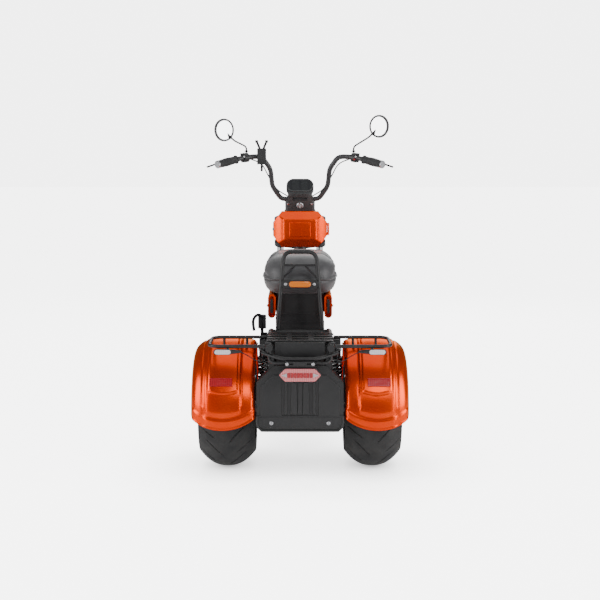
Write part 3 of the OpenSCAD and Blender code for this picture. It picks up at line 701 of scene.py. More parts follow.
    def plain(self, name: str) -> bpy.types.Object:
        """Makes an undressed object of what was gathered.

        Args:
            name: The object's name.

        Returns:
            The object, in the scene.
        """
        mesh = bpy.data.meshes.new(name)
        self.bm.to_mesh(mesh)
        self.bm.free()
        obj = bpy.data.objects.new(name, mesh)
        bpy.context.scene.collection.objects.link(obj)
        return obj

    def piece(self, name: str, finish: Finish, body: Body, *, replaces: Sequence[str] = (),
              edge: float = 0.0, sharp: float = 35.0, subdivide: int = 0,
              thickness: float = 0.0) -> bpy.types.Object:
        """Makes the piece, dresses it and hangs it on its body.

        Args:
            name: The piece's name.
            finish: Its finish.
            body: The body that it rides on.
            replaces: CAD nodes that it stands for.
            edge: Width of its rounded edges.
            sharp: Angle above which an edge stays sharp.
            subdivide: Levels of subdivision.
            thickness: Wall that is added inside the surface.

        Returns:
            The piece.
        """
        bmesh.ops.recalc_face_normals(self.bm, faces=self.bm.faces)
        obj = self.plain(name)
        if thickness:
            wall = obj.modifiers.new("wall", "SOLIDIFY")
            wall.thickness, wall.offset = thickness, -1.0
        round_edges(obj, edge, sharp)
        if subdivide:
            finer = obj.modifiers.new("finer", "SUBSURF")
            finer.levels = finer.render_levels = subdivide
        return dress(obj, finish, body, replaces)


def round_edges(obj: bpy.types.Object, width: float, sharp: float) -> None:
    """Smooths an object's shading and rounds its sharp edges.

    Args:
        obj: The object.
        width: Width of the rounding, or 0 for none.
        sharp: Angle in degrees above which an edge counts as sharp.
    """
    obj.data.shade_smooth()
    obj.data.set_sharp_from_angle(angle=math.radians(sharp))
    if width:
        bevel = obj.modifiers.new("edges", "BEVEL")
        bevel.width, bevel.segments = width, 2
        bevel.limit_method, bevel.angle_limit = "ANGLE", math.radians(sharp)
        bevel.harden_normals = True


def dress(obj: bpy.types.Object, finish: Finish, body: Body,
          replaces: Sequence[str] = ()) -> bpy.types.Object:
    """Gives a new piece its finish, slot and body.

    Args:
        obj: The piece.
        finish: Its finish.
        body: The body that it rides on.
        replaces: CAD nodes that it stands for.

    Returns:
        The same piece.
    """
    obj.data.materials.clear()
    obj.data.materials.append(finish.material())
    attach(obj, body.value)
    if replaces:
        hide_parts(*replaces)
    LOG.info("%s: %s on %s", obj.name, finish.slot, body.value)
    return obj


@dataclass
class KeptParts:
    """CAD parts whose own shape is right: they keep it and get their finish."""

    edge: float = 0.9 * MM
    finishes: dict[str, Finish] = field(default_factory=lambda: {
        "main_frame": FRAME_BLACK, "footboard": BLACK_PLASTIC, "battery_box": BLACK_PLASTIC,
        "side_panels": ORANGE, "controller_box": BLACK_PLASTIC,
        "luggage_rack": FRAME_BLACK, "rear_cover": BLACK_PLASTIC, "swing_fork": FRAME_BLACK,
        "rear_axle": CAST_GREY, "parking_brake": BLACK_ALLOY, "storage_box": ORANGE,
        "steering_head": FRAME_BLACK, "fork_left": CHROME, "fork_right": CHROME, "front_axle": SATIN_ALLOY,
        "front_fender": ORANGE, "headlamp": BLACK_ALLOY, "front_turn_lamps": AMBER_LENS,
        "brake_calliper": CAST_GREY, "handlebar_riser": CASE_GREY, "ignition_lock": LOCK_FACE,
        "display": CASE_GREY, "switches": BLACK_PLASTIC, "brake_levers": BLACK_ALLOY,
        "mirror_left": BLACK_PLASTIC, "mirror_right": BLACK_PLASTIC, "phone_holder": BLACK_PLASTIC,
        "rear_rim_left": RIM_ALLOY, "rear_rim_right": RIM_ALLOY, "front_rim": RIM_ALLOY,
        "front_disc": DISC_STEEL, "plate_lamp": FRAME_BLACK,
    })
    tubes: dict[str, Finish] = field(default_factory=lambda: {
        "grab_hoop": FRAME_BLACK, "fender_rail_left": FRAME_BLACK, "fender_rail_right": FRAME_BLACK,
        "handlebar": BAR_GREY, "brake_cables": CABLE_SLEEVE,
    })

    def dress_all(self) -> None:
        """Gives each kept part its finish and softened edges."""
        for name, finish in {**self.finishes, **self.tubes}.items():
            node = frame["nodes"][name]
            if "custom_normal" in node.data.attributes:
                node.data.attributes.remove(node.data.attributes["custom_normal"])
            node.data.materials.clear()
            node.data.materials.append(finish.material())
            weld = node.modifiers.new("weld", "WELD")
            weld.merge_threshold = 0.01 * MM
            node.data.shade_smooth()
            bevel = node.modifiers.new("edges", "BEVEL")
            bevel.width, bevel.segments = self.edge * (0.4 if name in self.tubes else 1.0), 2
            bevel.limit_method, bevel.angle_limit = "ANGLE", math.radians(42.0)
            bevel.harden_normals = True
            LOG.info("%s: kept, %s", name, finish.slot)


# ---- Studio ----


@dataclass
class Studio:
    """Pale floor, soft lights and the camera behind the trike."""

    distance: float = 5.0
    height: float = 1.25
    tilt_deg: float = 6.93
    lens: float = 78.7
    floor_size: float = 60.0
    glow: float = 5.0
    soft: float = 0.19
    bounce: float = 0.3
    middle: Point = (0.0, -0.4, 0.5)

    def floor(self) -> None:
        """Lays a wide pale floor."""
        half = self.floor_size / 2
        shape = Shape()
        shape.grid([[(-half, -half, 0), (half, -half, 0)], [(-half, half, 0), (half, half, 0)]])
        obj = shape.plain("floor")
        shader = Shader("floor_pale")
        stops = [(0.3, (0.86, 0.86, 0.86)), (0.7, (0.9, 0.9, 0.9))]
        shader.colour(shader.ramp(shader.noise(3.0, 3.0), stops))
        shader.roughness(shader.span(shader.noise(60.0, 2.0), 0.75, 0.9))
        shader.set(Emission_Color=(1.0, 1.0, 1.0))
        # The floor's glow carries a painted contact shadow under the trike.
        shader.link_camera_glow(self.glow, self.bounce)
        obj.data.materials.append(shader.material)

    def light(self, name: str, at: Point, aim: Point, size: float, power: float, tall: float = 1.0) -> None:
        """Hangs one soft light.

        Args:
            name: Its name.
            at: Its place.
            aim: The point that it faces.
            size: Its width.
            power: Its power in watts.
            tall: Its height as a share of its width.
        """
        lamp = bpy.data.lights.new(name, "AREA")
        lamp.shape = "RECTANGLE"
        lamp.size, lamp.size_y, lamp.energy = size, size * tall, power
        obj = bpy.data.objects.new(name, lamp)
        obj.location = at
        obj.rotation_euler = (Vector(aim) - Vector(at)).to_track_quat("-Z", "Y").to_euler()
        bpy.context.scene.collection.objects.link(obj)

    def lights(self) -> None:
        """Lights it from both sides, above, in front and a little from behind, over a soft world."""
        middle = self.middle
        self.light("key", (0.8, -4.6, 3.4), middle, 1.6, 38.0)
        for word, side in (("right", 1), ("left", -1)):
            self.light(f"side_{word}", (side * 4.2, -1.6, 1.7), middle, 2.3, 105.0)
            self.light(f"strip_{word}", (side * 2.7, -4.2, 1.5), middle, 0.36, 42.0, 8.0)
        self.light("top", (0.2, 0.2, 4.2), middle, 3.6, 52.0)
        self.light("front", (0.5, 4.0, 2.6), (0.0, 0.3, 0.6), 3.0, 70.0)
        world = bpy.data.worlds.new("studio")
        world.use_nodes = True
        tree = world.node_tree
        soft = tree.nodes["Background"]
        soft.inputs["Strength"].default_value = self.soft
        backdrop = tree.nodes.new("ShaderNodeBackground")
        backdrop.inputs["Color"].default_value = (1.0, 1.0, 1.0, 1.0)
        backdrop.inputs["Strength"].default_value = self.glow
        soft.inputs["Color"].default_value = (1.0, 1.0, 1.0, 1.0)
        seen = tree.nodes.new("ShaderNodeLightPath").outputs["Is Camera Ray"]
        mix = tree.nodes.new("ShaderNodeMixShader")
        tree.links.new(seen, mix.inputs["Fac"])
        tree.links.new(soft.outputs["Background"], mix.inputs[1])
        tree.links.new(backdrop.outputs["Background"], mix.inputs[2])
        tree.links.new(mix.outputs["Shader"], tree.nodes["World Output"].inputs["Surface"])
        bpy.context.scene.world = world

    def camera(self) -> None:
        """Puts the camera straight behind, looking slightly down."""
        axle = joint_place("rear_left_spin")
        data = bpy.data.cameras.new("camera")
        data.lens, data.sensor_width = self.lens, 36.0
        data.clip_end = 200.0
        obj = bpy.data.objects.new("camera", data)
        obj.location = (0.0, axle.y - self.distance, self.height)
        obj.rotation_euler = (math.radians(90.0 - self.tilt_deg), 0.0, 0.0)
        bpy.context.scene.collection.objects.link(obj)
        bpy.context.scene.camera = obj

    def build(self) -> None:
        """Builds the floor, the lights and the camera."""
        self.floor()
        self.lights()
        self.camera()


# ---- Wheels ----


@dataclass
class Tyre:
    """A fat road tyre whose curved grooves run from its middle to its shoulders."""

    node: str
    body: Body
    name: str
    crown: float
    rim_lip: float
    pitches: int = 10
    groove: float = 5.0 * MM
    groove_half: float = 0.017
    around: int = 720
    across: int = 52

    def __post_init__(self) -> None:
        """Takes its size and place from its CAD part."""
        low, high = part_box(self.node)
        self.middle = (low + high) / 2
        self.radius = (high.z - low.z) / 2
        self.half = (high.x - low.x) / 2
        self.bead = self.half - 21 * MM

    def section(self) -> list[tuple[float, float, float]]:
        """Works out the section from one bead over the crown to the other.

        Returns:
            Place across, radius and tread share of each point; the share is 9 off the tread.
        """
        lip = self.rim_lip
        wall = [
            (self.bead - 6 * MM, lip - 8 * MM), (self.bead, lip), (self.bead + 9 * MM, lip + 7 * MM),
            (self.bead + 14 * MM, lip + 14 * MM), (self.half - 1.5 * MM, self.radius - self.crown * 1.62),
        ]
        left = [(-x, r, 9.0) for x, r in wall]
        tread = []
        for i in range(self.across + 1):
            s = -1 + 2 * i / self.across
            tread.append((s * self.half, self.radius - self.crown * abs(s) ** 2.4, s))
        return left + tread + [(x, r, 9.0) for x, r in reversed(wall)]

    def groove_depth(self, turn: float, s: float) -> float:
        """Gives how deep the tread is cut at a place.

        Args:
            turn: Angle round the wheel, in radians.
            s: Share of the half width, from -1 to 1.

        Returns:
            The depth in metres.
        """
        if s > 2.0:
            return 0.0
        pitch = 2 * math.pi / self.pitches
        side = 0.5 if s > 0 else 0.0
        reach = abs(s)
        deep = 0.0
        for start, end, lean, shift in ((0.06, 0.72, 0.95, 0.0), (0.36, 0.93, 0.7, 0.5)):
            bend = lean * pitch * (reach ** 0.55) + (side + shift) * pitch
            off = (turn - bend + pitch / 2) % pitch - pitch / 2
            ends = smooth_step(reach, start, start + 0.07) * (1 - smooth_step(reach, end - 0.06, end))
            width = self.groove_half * (0.35 + 0.65 * math.sin(math.pi * (reach - start) / (end - start))
                                        if start < reach < end else 0.0)
            if width > 0.0:
                deep = max(deep, ends * (1 - smooth_step(abs(off), width * 0.55, width)))
        return deep * self.groove

    def build(self) -> None:
        """Builds the carcass and its tread as one surface."""
        shape = Shape()
        section = self.section()
        rows = []
        for i in range(self.around):
            turn = 2 * math.pi * i / self.around
            row = []
            for x, r, s in section:
                r -= self.groove_depth(turn, s)
                y, z = r * math.sin(turn), r * math.cos(turn)
                row.append((self.middle.x + x, self.middle.y + y, self.middle.z + z))
            rows.append(row)
        shape.grid(rows, closed_rows=True, closed_columns=True)
        shape.piece(self.name, TYRE_RUBBER, self.body, replaces=[self.node], sharp=38.0)
        ribs = Shape()
        for side in (-1, 1):
            for r, x in ((self.rim_lip + 20 * MM, self.bead + 16.0 * MM),
                         (self.rim_lip + 27 * MM, self.bead + 17.6 * MM)):
                at = facing(self.middle + Vector((side * x, 0, 0)), (1, 0, 0))
                ring = [(r + 1.2 * MM * math.cos(a), 1.2 * MM * math.sin(a)) for a in
                        (2 * math.pi * k / 8 for k in range(9))]
                ribs.lathe(ring, at, 120)
        ribs.piece(f"{self.name}_wall_ribs", TYRE_RUBBER, self.body)


@dataclass
class WheelTrim:
    """What is fixed to a rim: its valve and the nuts at its hub."""

    rim: str
    body: Body
    name: str
    nuts: int = 5
    nut_circle: float = 38 * MM

    def build(self) -> None:
        """Builds the valve and the nuts on the rim's outer side."""
        low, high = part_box(self.rim)
        middle = (low + high) / 2
        outer = high.x if middle.x >= 0 else low.x
        side = 1 if middle.x >= 0 else -1
        shape = Shape()
        for i in range(self.nuts):
            turn = 2 * math.pi * i / self.nuts
            face = middle.x + side * min(abs(outer - middle.x), 46 * MM)
            at = (face, middle.y + self.nut_circle * math.sin(turn),
                  middle.z + self.nut_circle * math.cos(turn))
            shape.bolt(at, (side, 0, 0), 6 * MM)
        radius = (high.z - low.z) / 2
        valve = facing((outer - side * 14 * MM, middle.y, middle.z + radius - 15 * MM), (side, 0, -0.6))
        shape.lathe(mm((0, 0), (4, 0), (3.4, 14), (2.8, 15), (2.8, 24), (0, 24)), valve, 16)
        shape.piece(self.name, SATIN_ALLOY, self.body)


# ---- Rear fenders ----


@dataclass
class Fender:
    """A rear fender: a wrapped shell with a raised panel, pressed lines and a flanged rim."""

    node: str
    side: int
    name: str
    wall: float = 3.2 * MM
    low: float = 191 * MM
    drop: float = 44 * MM
    panel_half: float = 52 * MM
    panel_mid: float = 284 * MM
    panel_low: float = 332 * MM
    panel_high: float = 4.2 * MM
    band: float = 42 * MM
    press_lines: tuple[float, float] = (218 * MM, 361 * MM)
    press_deep: float = 2.4 * MM
    reflector_at: tuple[float, float] = (292 * MM, 362 * MM)
    reflector_half: tuple[float, float] = (43 * MM, 16.5 * MM)
    reflector_proud: float = 7.5 * MM
    reflector_cell: float = 7.0 * MM
    bolt_turns: tuple[float, ...] = (-62, -24, 14, 52)
    around: int = 190
    across: int = 110

    def __post_init__(self) -> None:
        """Takes its width and wheel centre from its CAD part."""
        low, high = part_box(self.node)
        self.x_in = min(abs(low.x), abs(high.x))
        self.x_out = max(abs(low.x), abs(high.x))
        self.centre = joint_place("rear_left_spin")
        self.radius = high.z - self.centre.z

    def edge_line(self, x: float) -> float:
        """Height of the arched lower edge at a place across.

        Args:
            x: Distance from the middle of the trike.

        Returns:
            The height in metres.
        """
        half = (self.x_out - self.x_in) / 2
        arch = (half * half + self.drop * self.drop) / (2 * self.drop)
        off = x - (self.x_in + self.x_out) / 2
        return self.low + arch - math.sqrt(arch * arch - off * off)

    def section(self) -> list[tuple[float, float]]:
        """Works out the section across the wheel.

        Returns:
            Place across and radius of evenly spread points.
        """
        r, a, b = self.radius, self.x_in, self.x_out
        corners = [
            (a, r - 22 * MM), (a + 2 * MM, r - 13 * MM), (a + 12 * MM, r - 7 * MM), (a + 40 * MM, r - 3 * MM),
            (a + 90 * MM, r), (b - 100 * MM, r), (b - 68 * MM, r - 2.5 * MM), (b - 52 * MM, r - 7 * MM),
            (b - 36 * MM, r - 15 * MM), (b - 18 * MM, r - 28 * MM), (b - 7 * MM, r - 45 * MM),
            (b - 1 * MM, r - 70 * MM), (b, r - 100 * MM), (b - 2 * MM, r - 126 * MM),
        ]
        route = rounded_route([(x, 0, z) for x, z in corners], 16 * MM, 5)
        lengths = [0.0]
        for p, q in zip(route, route[1:]):
            lengths.append(lengths[-1] + (q - p).length)
        made, k = [], 0
        for i in range(self.across + 1):
            want = lengths[-1] * i / self.across
            while k < len(lengths) - 2 and lengths[k + 1] < want:
                k += 1
            span = max(1e-9, lengths[k + 1] - lengths[k])
            p = route[k].lerp(route[k + 1], (want - lengths[k]) / span)
            made.append((p.x, p.z))
        return made

    def relief(self, x: float, z: float, above: float) -> float:
        """How far the pressed shapes stand out at a place.

        Args:
            x: Distance from the middle of the trike.
            z: Height.
            above: Height above the lower edge.

        Returns:
            The relief in metres; grooves are negative.
        """
        off = abs(x - self.panel_mid)
        arched = self.panel_low - 9 * MM * (1 - (off / self.panel_half) ** 2)
        inside = 1 - smooth_step(off, self.panel_half - 3 * MM, self.panel_half + 3 * MM)
        raised = self.panel_high * inside * smooth_step(z, arched - 3 * MM, arched + 3 * MM)
        step = 1.8 * MM * (1 - smooth_step(off, self.panel_half + 10 * MM, self.panel_half + 14 * MM))
        step *= smooth_step(above, self.band + 6 * MM, self.band + 22 * MM)
        lines = 0.0
        for place in self.press_lines:
            near = 1 - smooth_step(abs(x - place), 1.5 * MM, 4.5 * MM)
            lines += near * smooth_step(above, 60 * MM, 80 * MM)
        rim = 2.6 * MM * (1 - smooth_step(above, self.band - 8 * MM, self.band))
        lip = 1.8 * MM * (1 - smooth_step(above, 3 * MM, 8 * MM))
        inner = smooth_step(self.x_out - x, 2 * MM, 14 * MM)
        return raised + step + (rim + lip) * inner - self.press_deep * lines

    def build_shell(self) -> None:
        """Builds the pressed shell."""
        grid = []
        for x, r in self.section():
            line = self.edge_line(x)
            end = math.acos(max(-1.0, min(1.0, (line - self.centre.z) / r)))
            row = []
            for i in range(self.around + 1):
                t = -1 + 2 * i / self.around
                turn = end * math.copysign(abs(t) ** 0.9, t)
                row.append(Vector((self.side * x, self.centre.y - r * math.sin(turn),
                                   self.centre.z + r * math.cos(turn))))
            grid.append(row)
        lifted = []
        for i, row in enumerate(grid):
            new = []
            for j, p in enumerate(row):
                u = row[min(j + 1, self.around)] - row[max(j - 1, 0)]
                v = grid[min(i + 1, self.across)][j] - grid[max(i - 1, 0)][j]
                normal = u.cross(v).normalized()
                if normal.dot(p - Vector((self.side * 270 * MM, self.centre.y, self.centre.z))) < 0:
                    normal.negate()
                x, line = abs(p.x), self.edge_line(abs(p.x))
                new.append(p + normal * self.relief(x, p.z, p.z - line))
            lifted.append(new)
        shape = Shape()
        shape.grid(lifted)
        bmesh.ops.recalc_face_normals(shape.bm, faces=shape.bm.faces)
        face = max(shape.bm.faces, key=lambda f: f.calc_center_median().z)
        if face.normal.z < 0:
            bmesh.ops.reverse_faces(shape.bm, faces=shape.bm.faces)
        obj = shape.plain(self.name)
        wall = obj.modifiers.new("wall", "SOLIDIFY")
        wall.thickness, wall.offset = self.wall, -1.0
        round_edges(obj, 0.0, 50.0)
        dress(obj, ORANGE, Body.FRAME, [self.node])

    def rear_place(self, x: float, z: float, out: float) -> Matrix:
        """Finds a place on the shell's rear face.

        Args:
            x: Distance from the middle of the trike.
            z: Height.
            out: How far proud of the shell.

        Returns:
            A place whose Z looks outwards.
        """
        turn = math.acos((z - self.centre.z) / self.radius)
        outward = Vector((0.0, -math.sin(turn), math.cos(turn)))
        at = Vector((self.side * x, self.centre.y, self.centre.z)) + outward * (self.radius + out)
        return facing(at, outward)

    def build_reflector(self) -> None:
        """Builds the red reflector and its frame."""
        place = self.rear_place(*self.reflector_at, self.reflector_proud)
        half_w, half_h = self.reflector_half
        frame_shape = Shape()
        frame_shape.box((-half_w, -half_h, -2 * MM), (half_w, half_h, 2.2 * MM), place)
        frame_shape.piece(f"{self.name}_reflector_frame", RED_LENS, Body.FRAME, edge=1.2 * MM)
        face = Shape()
        cell = self.reflector_cell
        columns, rows = int(2 * (half_w - 3 * MM) / cell), int(2 * (half_h - 3 * MM) / cell)
        for i in range(columns):
            for j in range(rows):
                cx = (i - (columns - 1) / 2) * cell
                cy = (j - (rows - 1) / 2) * cell
                h = cell * 0.5
                points = [(cx - h, cy - h, 2 * MM), (cx + h, cy - h, 2 * MM), (cx + h, cy + h, 2 * MM),
                          (cx - h, cy + h, 2 * MM), (cx, cy, 2.6 * MM)]
                face.faces(points, [(0, 1, 4), (1, 2, 4), (2, 3, 4), (3, 0, 4), (0, 3, 2, 1)], place)
        face.piece(f"{self.name}_reflector_face", RED_LENS, Body.FRAME, sharp=8.0)

    def build_fixings(self) -> None:
        """Builds the bolts along the inner lip."""
        shape = Shape()
        for turn_deg in self.bolt_turns:
            turn = math.radians(turn_deg)
            r = self.radius - 15 * MM
            at = (self.side * (self.x_in + 0.6 * MM), self.centre.y - r * math.sin(turn),
                  self.centre.z + r * math.cos(turn))
            shape.bolt(at, (-self.side, 0, 0), 4 * MM)
        shape.piece(f"{self.name}_bolts", SATIN_ALLOY, Body.FRAME)

    def build(self) -> None:
        """Builds the whole fender."""
        self.build_shell()
        self.build_reflector()
        self.build_fixings()


# ---- Rear lamps, cover and carriers ----


@dataclass
class TailLamp:
    """The six-sided rear lamp: black base, rose lens, red strip and bright wedges at its tips."""

    half_w: float = 0.0
    half_h: float = 25 * MM
    base_deep: float = 32 * MM
    lens_deep: float = 14 * MM
    strip_deep: float = 4.2 * MM
    tip: float = 22 * MM
    rim: float = 3.5 * MM
    strip_half: float = 46 * MM
    strip_high: float = 8.5 * MM
    blocks: int = 8

    def outline(self, shrink: float) -> list[tuple[float, float]]:
        """Works out the lamp's outline about its middle.

        Args:
            shrink: How far inside the lamp's own edge.

        Returns:
            The outline's corners, across and up.
        """
        w, h = self.half_w - shrink * 1.4, self.half_h - shrink
        cut = self.tip
        return [(-w, 0), (-w + cut, -h), (w - cut, -h), (w, 0), (w - cut, h), (-w + cut, h)]

    def build(self) -> None:
        """Builds the base, lens, strip and wedges."""
        low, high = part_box("tail_lamp")
        self.half_w = (high.x - low.x) / 2
        back = low.y
        place = facing((0, back, low.z + self.half_h), (0, -1, 0))
        base = Shape()
        base.prism(self.outline(0.0), -self.base_deep, -self.lens_deep, place)
        top = high.z - low.z - self.half_h
        base.box((-40 * MM, 5 * MM, -40 * MM), (40 * MM, top, -self.base_deep), place)
        base.piece("tail_lamp_base", BLACK_PLASTIC, Body.FRAME, edge=2 * MM, replaces=["tail_lamp"])
        lens = Shape()
        lens.prism(self.outline(self.rim * 0.4), -self.lens_deep, -4 * MM, place)
        lens.piece("tail_lamp_lens", ROSE_LENS, Body.FRAME, edge=3.5 * MM)
        strip = Shape()
        pitch = 2 * self.strip_half / self.blocks
        for i in range(self.blocks):
            x = -self.strip_half + (i + 0.5) * pitch
            half = pitch / 2 - 0.9 * MM
            strip.box((x - half, -self.strip_high, -self.strip_deep),
                      (x + half, self.strip_high, -0.6 * MM), place)
        strip.piece("tail_lamp_strip", RED_LENS, Body.FRAME, edge=1.2 * MM)
        wedges = Shape()
        for side in (-1, 1):
            inner, outer = side * (self.strip_half + 1.5 * MM), side * (self.half_w - 12 * MM)
            tall = self.strip_high * 0.9
            corners = [(inner, -tall), (outer, -1 * MM), (outer, 1 * MM), (inner, tall)]
            wedges.prism(corners if side > 0 else corners[::-1], -self.strip_deep, -1.2 * MM, place)
        wedges.piece("tail_lamp_wedges", SATIN_ALLOY, Body.FRAME, edge=0.8 * MM)
        hood = Shape()
        rows = []
        for x in (-1.0, -0.8, 0.8, 1.0):
            w = x * (self.half_w - self.tip + 3 * MM)
            drop = 6 * MM if abs(x) > 0.9 else 0.0
            rows.append([(w, back + d, low.z + 2 * self.half_h + 2.0 * MM - drop + d * 0.1)
                         for d in (6 * MM, 30 * MM)])
        hood.grid(rows)
        hood.piece("tail_lamp_hood", BLACK_PLASTIC, Body.FRAME, thickness=2.0 * MM, edge=0.8 * MM)


@dataclass
class TurnLamps:
    """The oval indicators on the fender rails, with their stalks and wires."""

    inboard: float = 51 * MM
    outward: float = 18 * MM
    lens_w: float = 29.5 * MM
    lens_h: float = 8.4 * MM
    shell: tuple[tuple[float, float, float], ...] = (
        (-28, 20, 5), (-22, 30, 8.0), (-10, 33, 9.6), (-4, 33, 10), (-3, 31.5, 9),
    )
    dome: tuple[tuple[float, float], ...] = ((-3.5, 1.0), (-1.8, 0.97), (-0.6, 0.86), (0.0, 0.6), (0.2, 0.25))

    def build(self) -> None:
        """Builds both indicators."""
        low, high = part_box("rear_turn_lamps")
        mid_z = (low.z + high.z) / 2 - 1 * MM
        back = low.y
        half = (high.x - low.x) / 2
        body, lens, stalk, wires = Shape(), Shape(), Shape(), Shape()
        for side in (-1, 1):
            centre = side * (half - self.inboard)
            place = facing((centre, back, mid_z), (0, -1, 0))
            rows = []
            out = Vector((side * self.outward, 0, 0))
            for z, w, h in self.shell:
                ring = oval(w * MM, h * MM)
                rows.append([place @ Vector((x, y, z * MM)) + out for x, y in ring])
            body.grid(rows, closed_rows=True)
            for row, flip in ((rows[0], True), (rows[-1], False)):
                verts = [body.bm.verts.new(p) for p in row]
                body.bm.faces.new(verts[::-1] if flip else verts)
            lens_rows = []
            for z, k in self.dome:
                ring = oval(self.lens_w * k + 1.5 * MM * (1 - k), self.lens_h * k + 0.2 * MM)
                lens_rows.append([place @ Vector((x, y, z * MM)) + out for x, y in ring])
            lens.grid(lens_rows, closed_rows=True)
            lens.bm.faces.new([lens.bm.verts.new(p) for p in lens_rows[-1]])
            neck = facing((centre - side * 12 * MM, back + 14 * MM, mid_z), (-side, 0, 0))
            stalk.lathe(mm((0, 0), (8.6, 0), (7.6, 14), (4.4, 34), (3.4, 38), (0, 38)), neck, 24)
            stalk.lathe(mm((0, 0), (5, 0), (5, 16), (7, 17), (7, 20), (0, 20)),
                        facing((centre, back + 16 * MM, mid_z + 5 * MM), (0, 0, 1)), 20)
            start = Vector((centre - side * 40 * MM, back + 24 * MM, mid_z))
            route = [start, start + Vector((-side * 30 * MM, 12 * MM, -16 * MM)),
                     Vector((side * 150 * MM, back + 30 * MM, mid_z - 42 * MM)),
                     Vector((side * 118 * MM, back + 46 * MM, mid_z - 30 * MM))]
            wires.tube(rounded_route(route, 26 * MM), 1.7 * MM, 8)
        body.piece("turn_lamp_shells", BLACK_PLASTIC, Body.FRAME, replaces=["rear_turn_lamps"])
        lens.piece("turn_lamp_lenses", CLEAR_LENS, Body.FRAME)
        stalk.piece("turn_lamp_stalks", BLACK_PLASTIC, Body.FRAME, edge=0.8 * MM)
        wires.piece("turn_lamp_wires", CABLE_SLEEVE, Body.FRAME)


@dataclass
class PlateLamp:
    """The plate bracket's small lamp and its two bright bolts."""

    def build(self) -> None:
        """Builds the lamp's hood and the bolts."""
        low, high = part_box("plate_lamp")
        mid_z = (low.z + high.z) / 2
        bolts = Shape()
        for side in (-1, 1):
            bolts.bolt((side * 47 * MM, low.y, mid_z), (0, -1, 0), 4.2 * MM)
        bolts.piece("plate_bolts", SATIN_ALLOY, Body.FRAME)
        hood = Shape()
        hood.box((-24 * MM, low.y - 3 * MM, mid_z - 7 * MM), (24 * MM, low.y + 1 * MM, mid_z + 9 * MM))
        hood.piece("plate_lamp_hood", BLACK_PLASTIC, Body.FRAME, edge=2 * MM)


@dataclass
class CoverTrim:
    """Pressed ribs, steps and bolts of the cover behind the axle."""

    rib_low: float = 250 * MM
    rib_high: float = 372 * MM
    rib_deep: float = 5 * MM
    ribs: tuple[tuple[float, float], ...] = ((-52, 6), (-22, 13), (0, 9), (22, 13), (52, 6))
    plate_x: tuple[float, float, float] = (68 * MM, 96 * MM, 146 * MM)
    plate_z: tuple[float, float] = (352 * MM, 398 * MM)
    lip_z: tuple[float, float, float] = (189 * MM, 206 * MM, 244 * MM)

    def build(self) -> None:
        """Builds the ribs, the shoulder plates, the lower lip and the bolts."""
        low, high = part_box("rear_cover")
        back = low.y
        ribs = Shape()
        for x, w in self.ribs:
            outline = [((x - w) * MM, self.rib_low), ((x + w) * MM, self.rib_low),
                       ((x + w * 0.7) * MM, self.rib_high), ((x - w * 0.7) * MM, self.rib_high)]
            ribs.prism(outline, -1 * MM, self.rib_deep, facing((0, back, 0), (0, -1, 0)))
        ribs.piece("cover_ribs", BLACK_PLASTIC, Body.FRAME, edge=3 * MM)
        plates = Shape()
        flip = facing((0, back, 0), (0, -1, 0))
        for side in (-1, 1):
            near, cut, far = [side * x for x in self.plate_x]
            foot, (low_z, high_z) = self.rib_low - 6 * MM, self.plate_z
            outline = [(near, foot), (far, foot), (far, low_z), (cut, high_z), (near, high_z)]
            plates.prism(outline if side > 0 else outline[::-1], -1 * MM, 3.5 * MM, flip)
        plates.piece("cover_shoulders", BLACK_PLASTIC, Body.FRAME, edge=2.5 * MM)
        lip = Shape()
        half = high.x - 4 * MM
        floor_z, bend_z, top_z = self.lip_z
        route = [(-half, top_z), (-half, bend_z), (-half + 18 * MM, floor_z),
                 (half - 18 * MM, floor_z), (half, bend_z), (half, top_z)]
        path = rounded_route([(x, back - 1.5 * MM, z) for x, z in route], 14 * MM)
        lip.tube(path, 4.5 * MM, 10)
        lip.tube([Vector((x, back - 1.0 * MM, 243 * MM)) for x in (-half, half)], 3 * MM, 10)
        lip.piece("cover_lip", BLACK_PLASTIC, Body.FRAME)
        bolts = Shape()
        for side in (-1, 1):
            bolts.bolt((side * 105 * MM, back - 0.5 * MM, 217 * MM), (0, -1, 0), 5.2 * MM)
        bolts.piece("cover_bolts", SATIN_ALLOY, Body.FRAME)


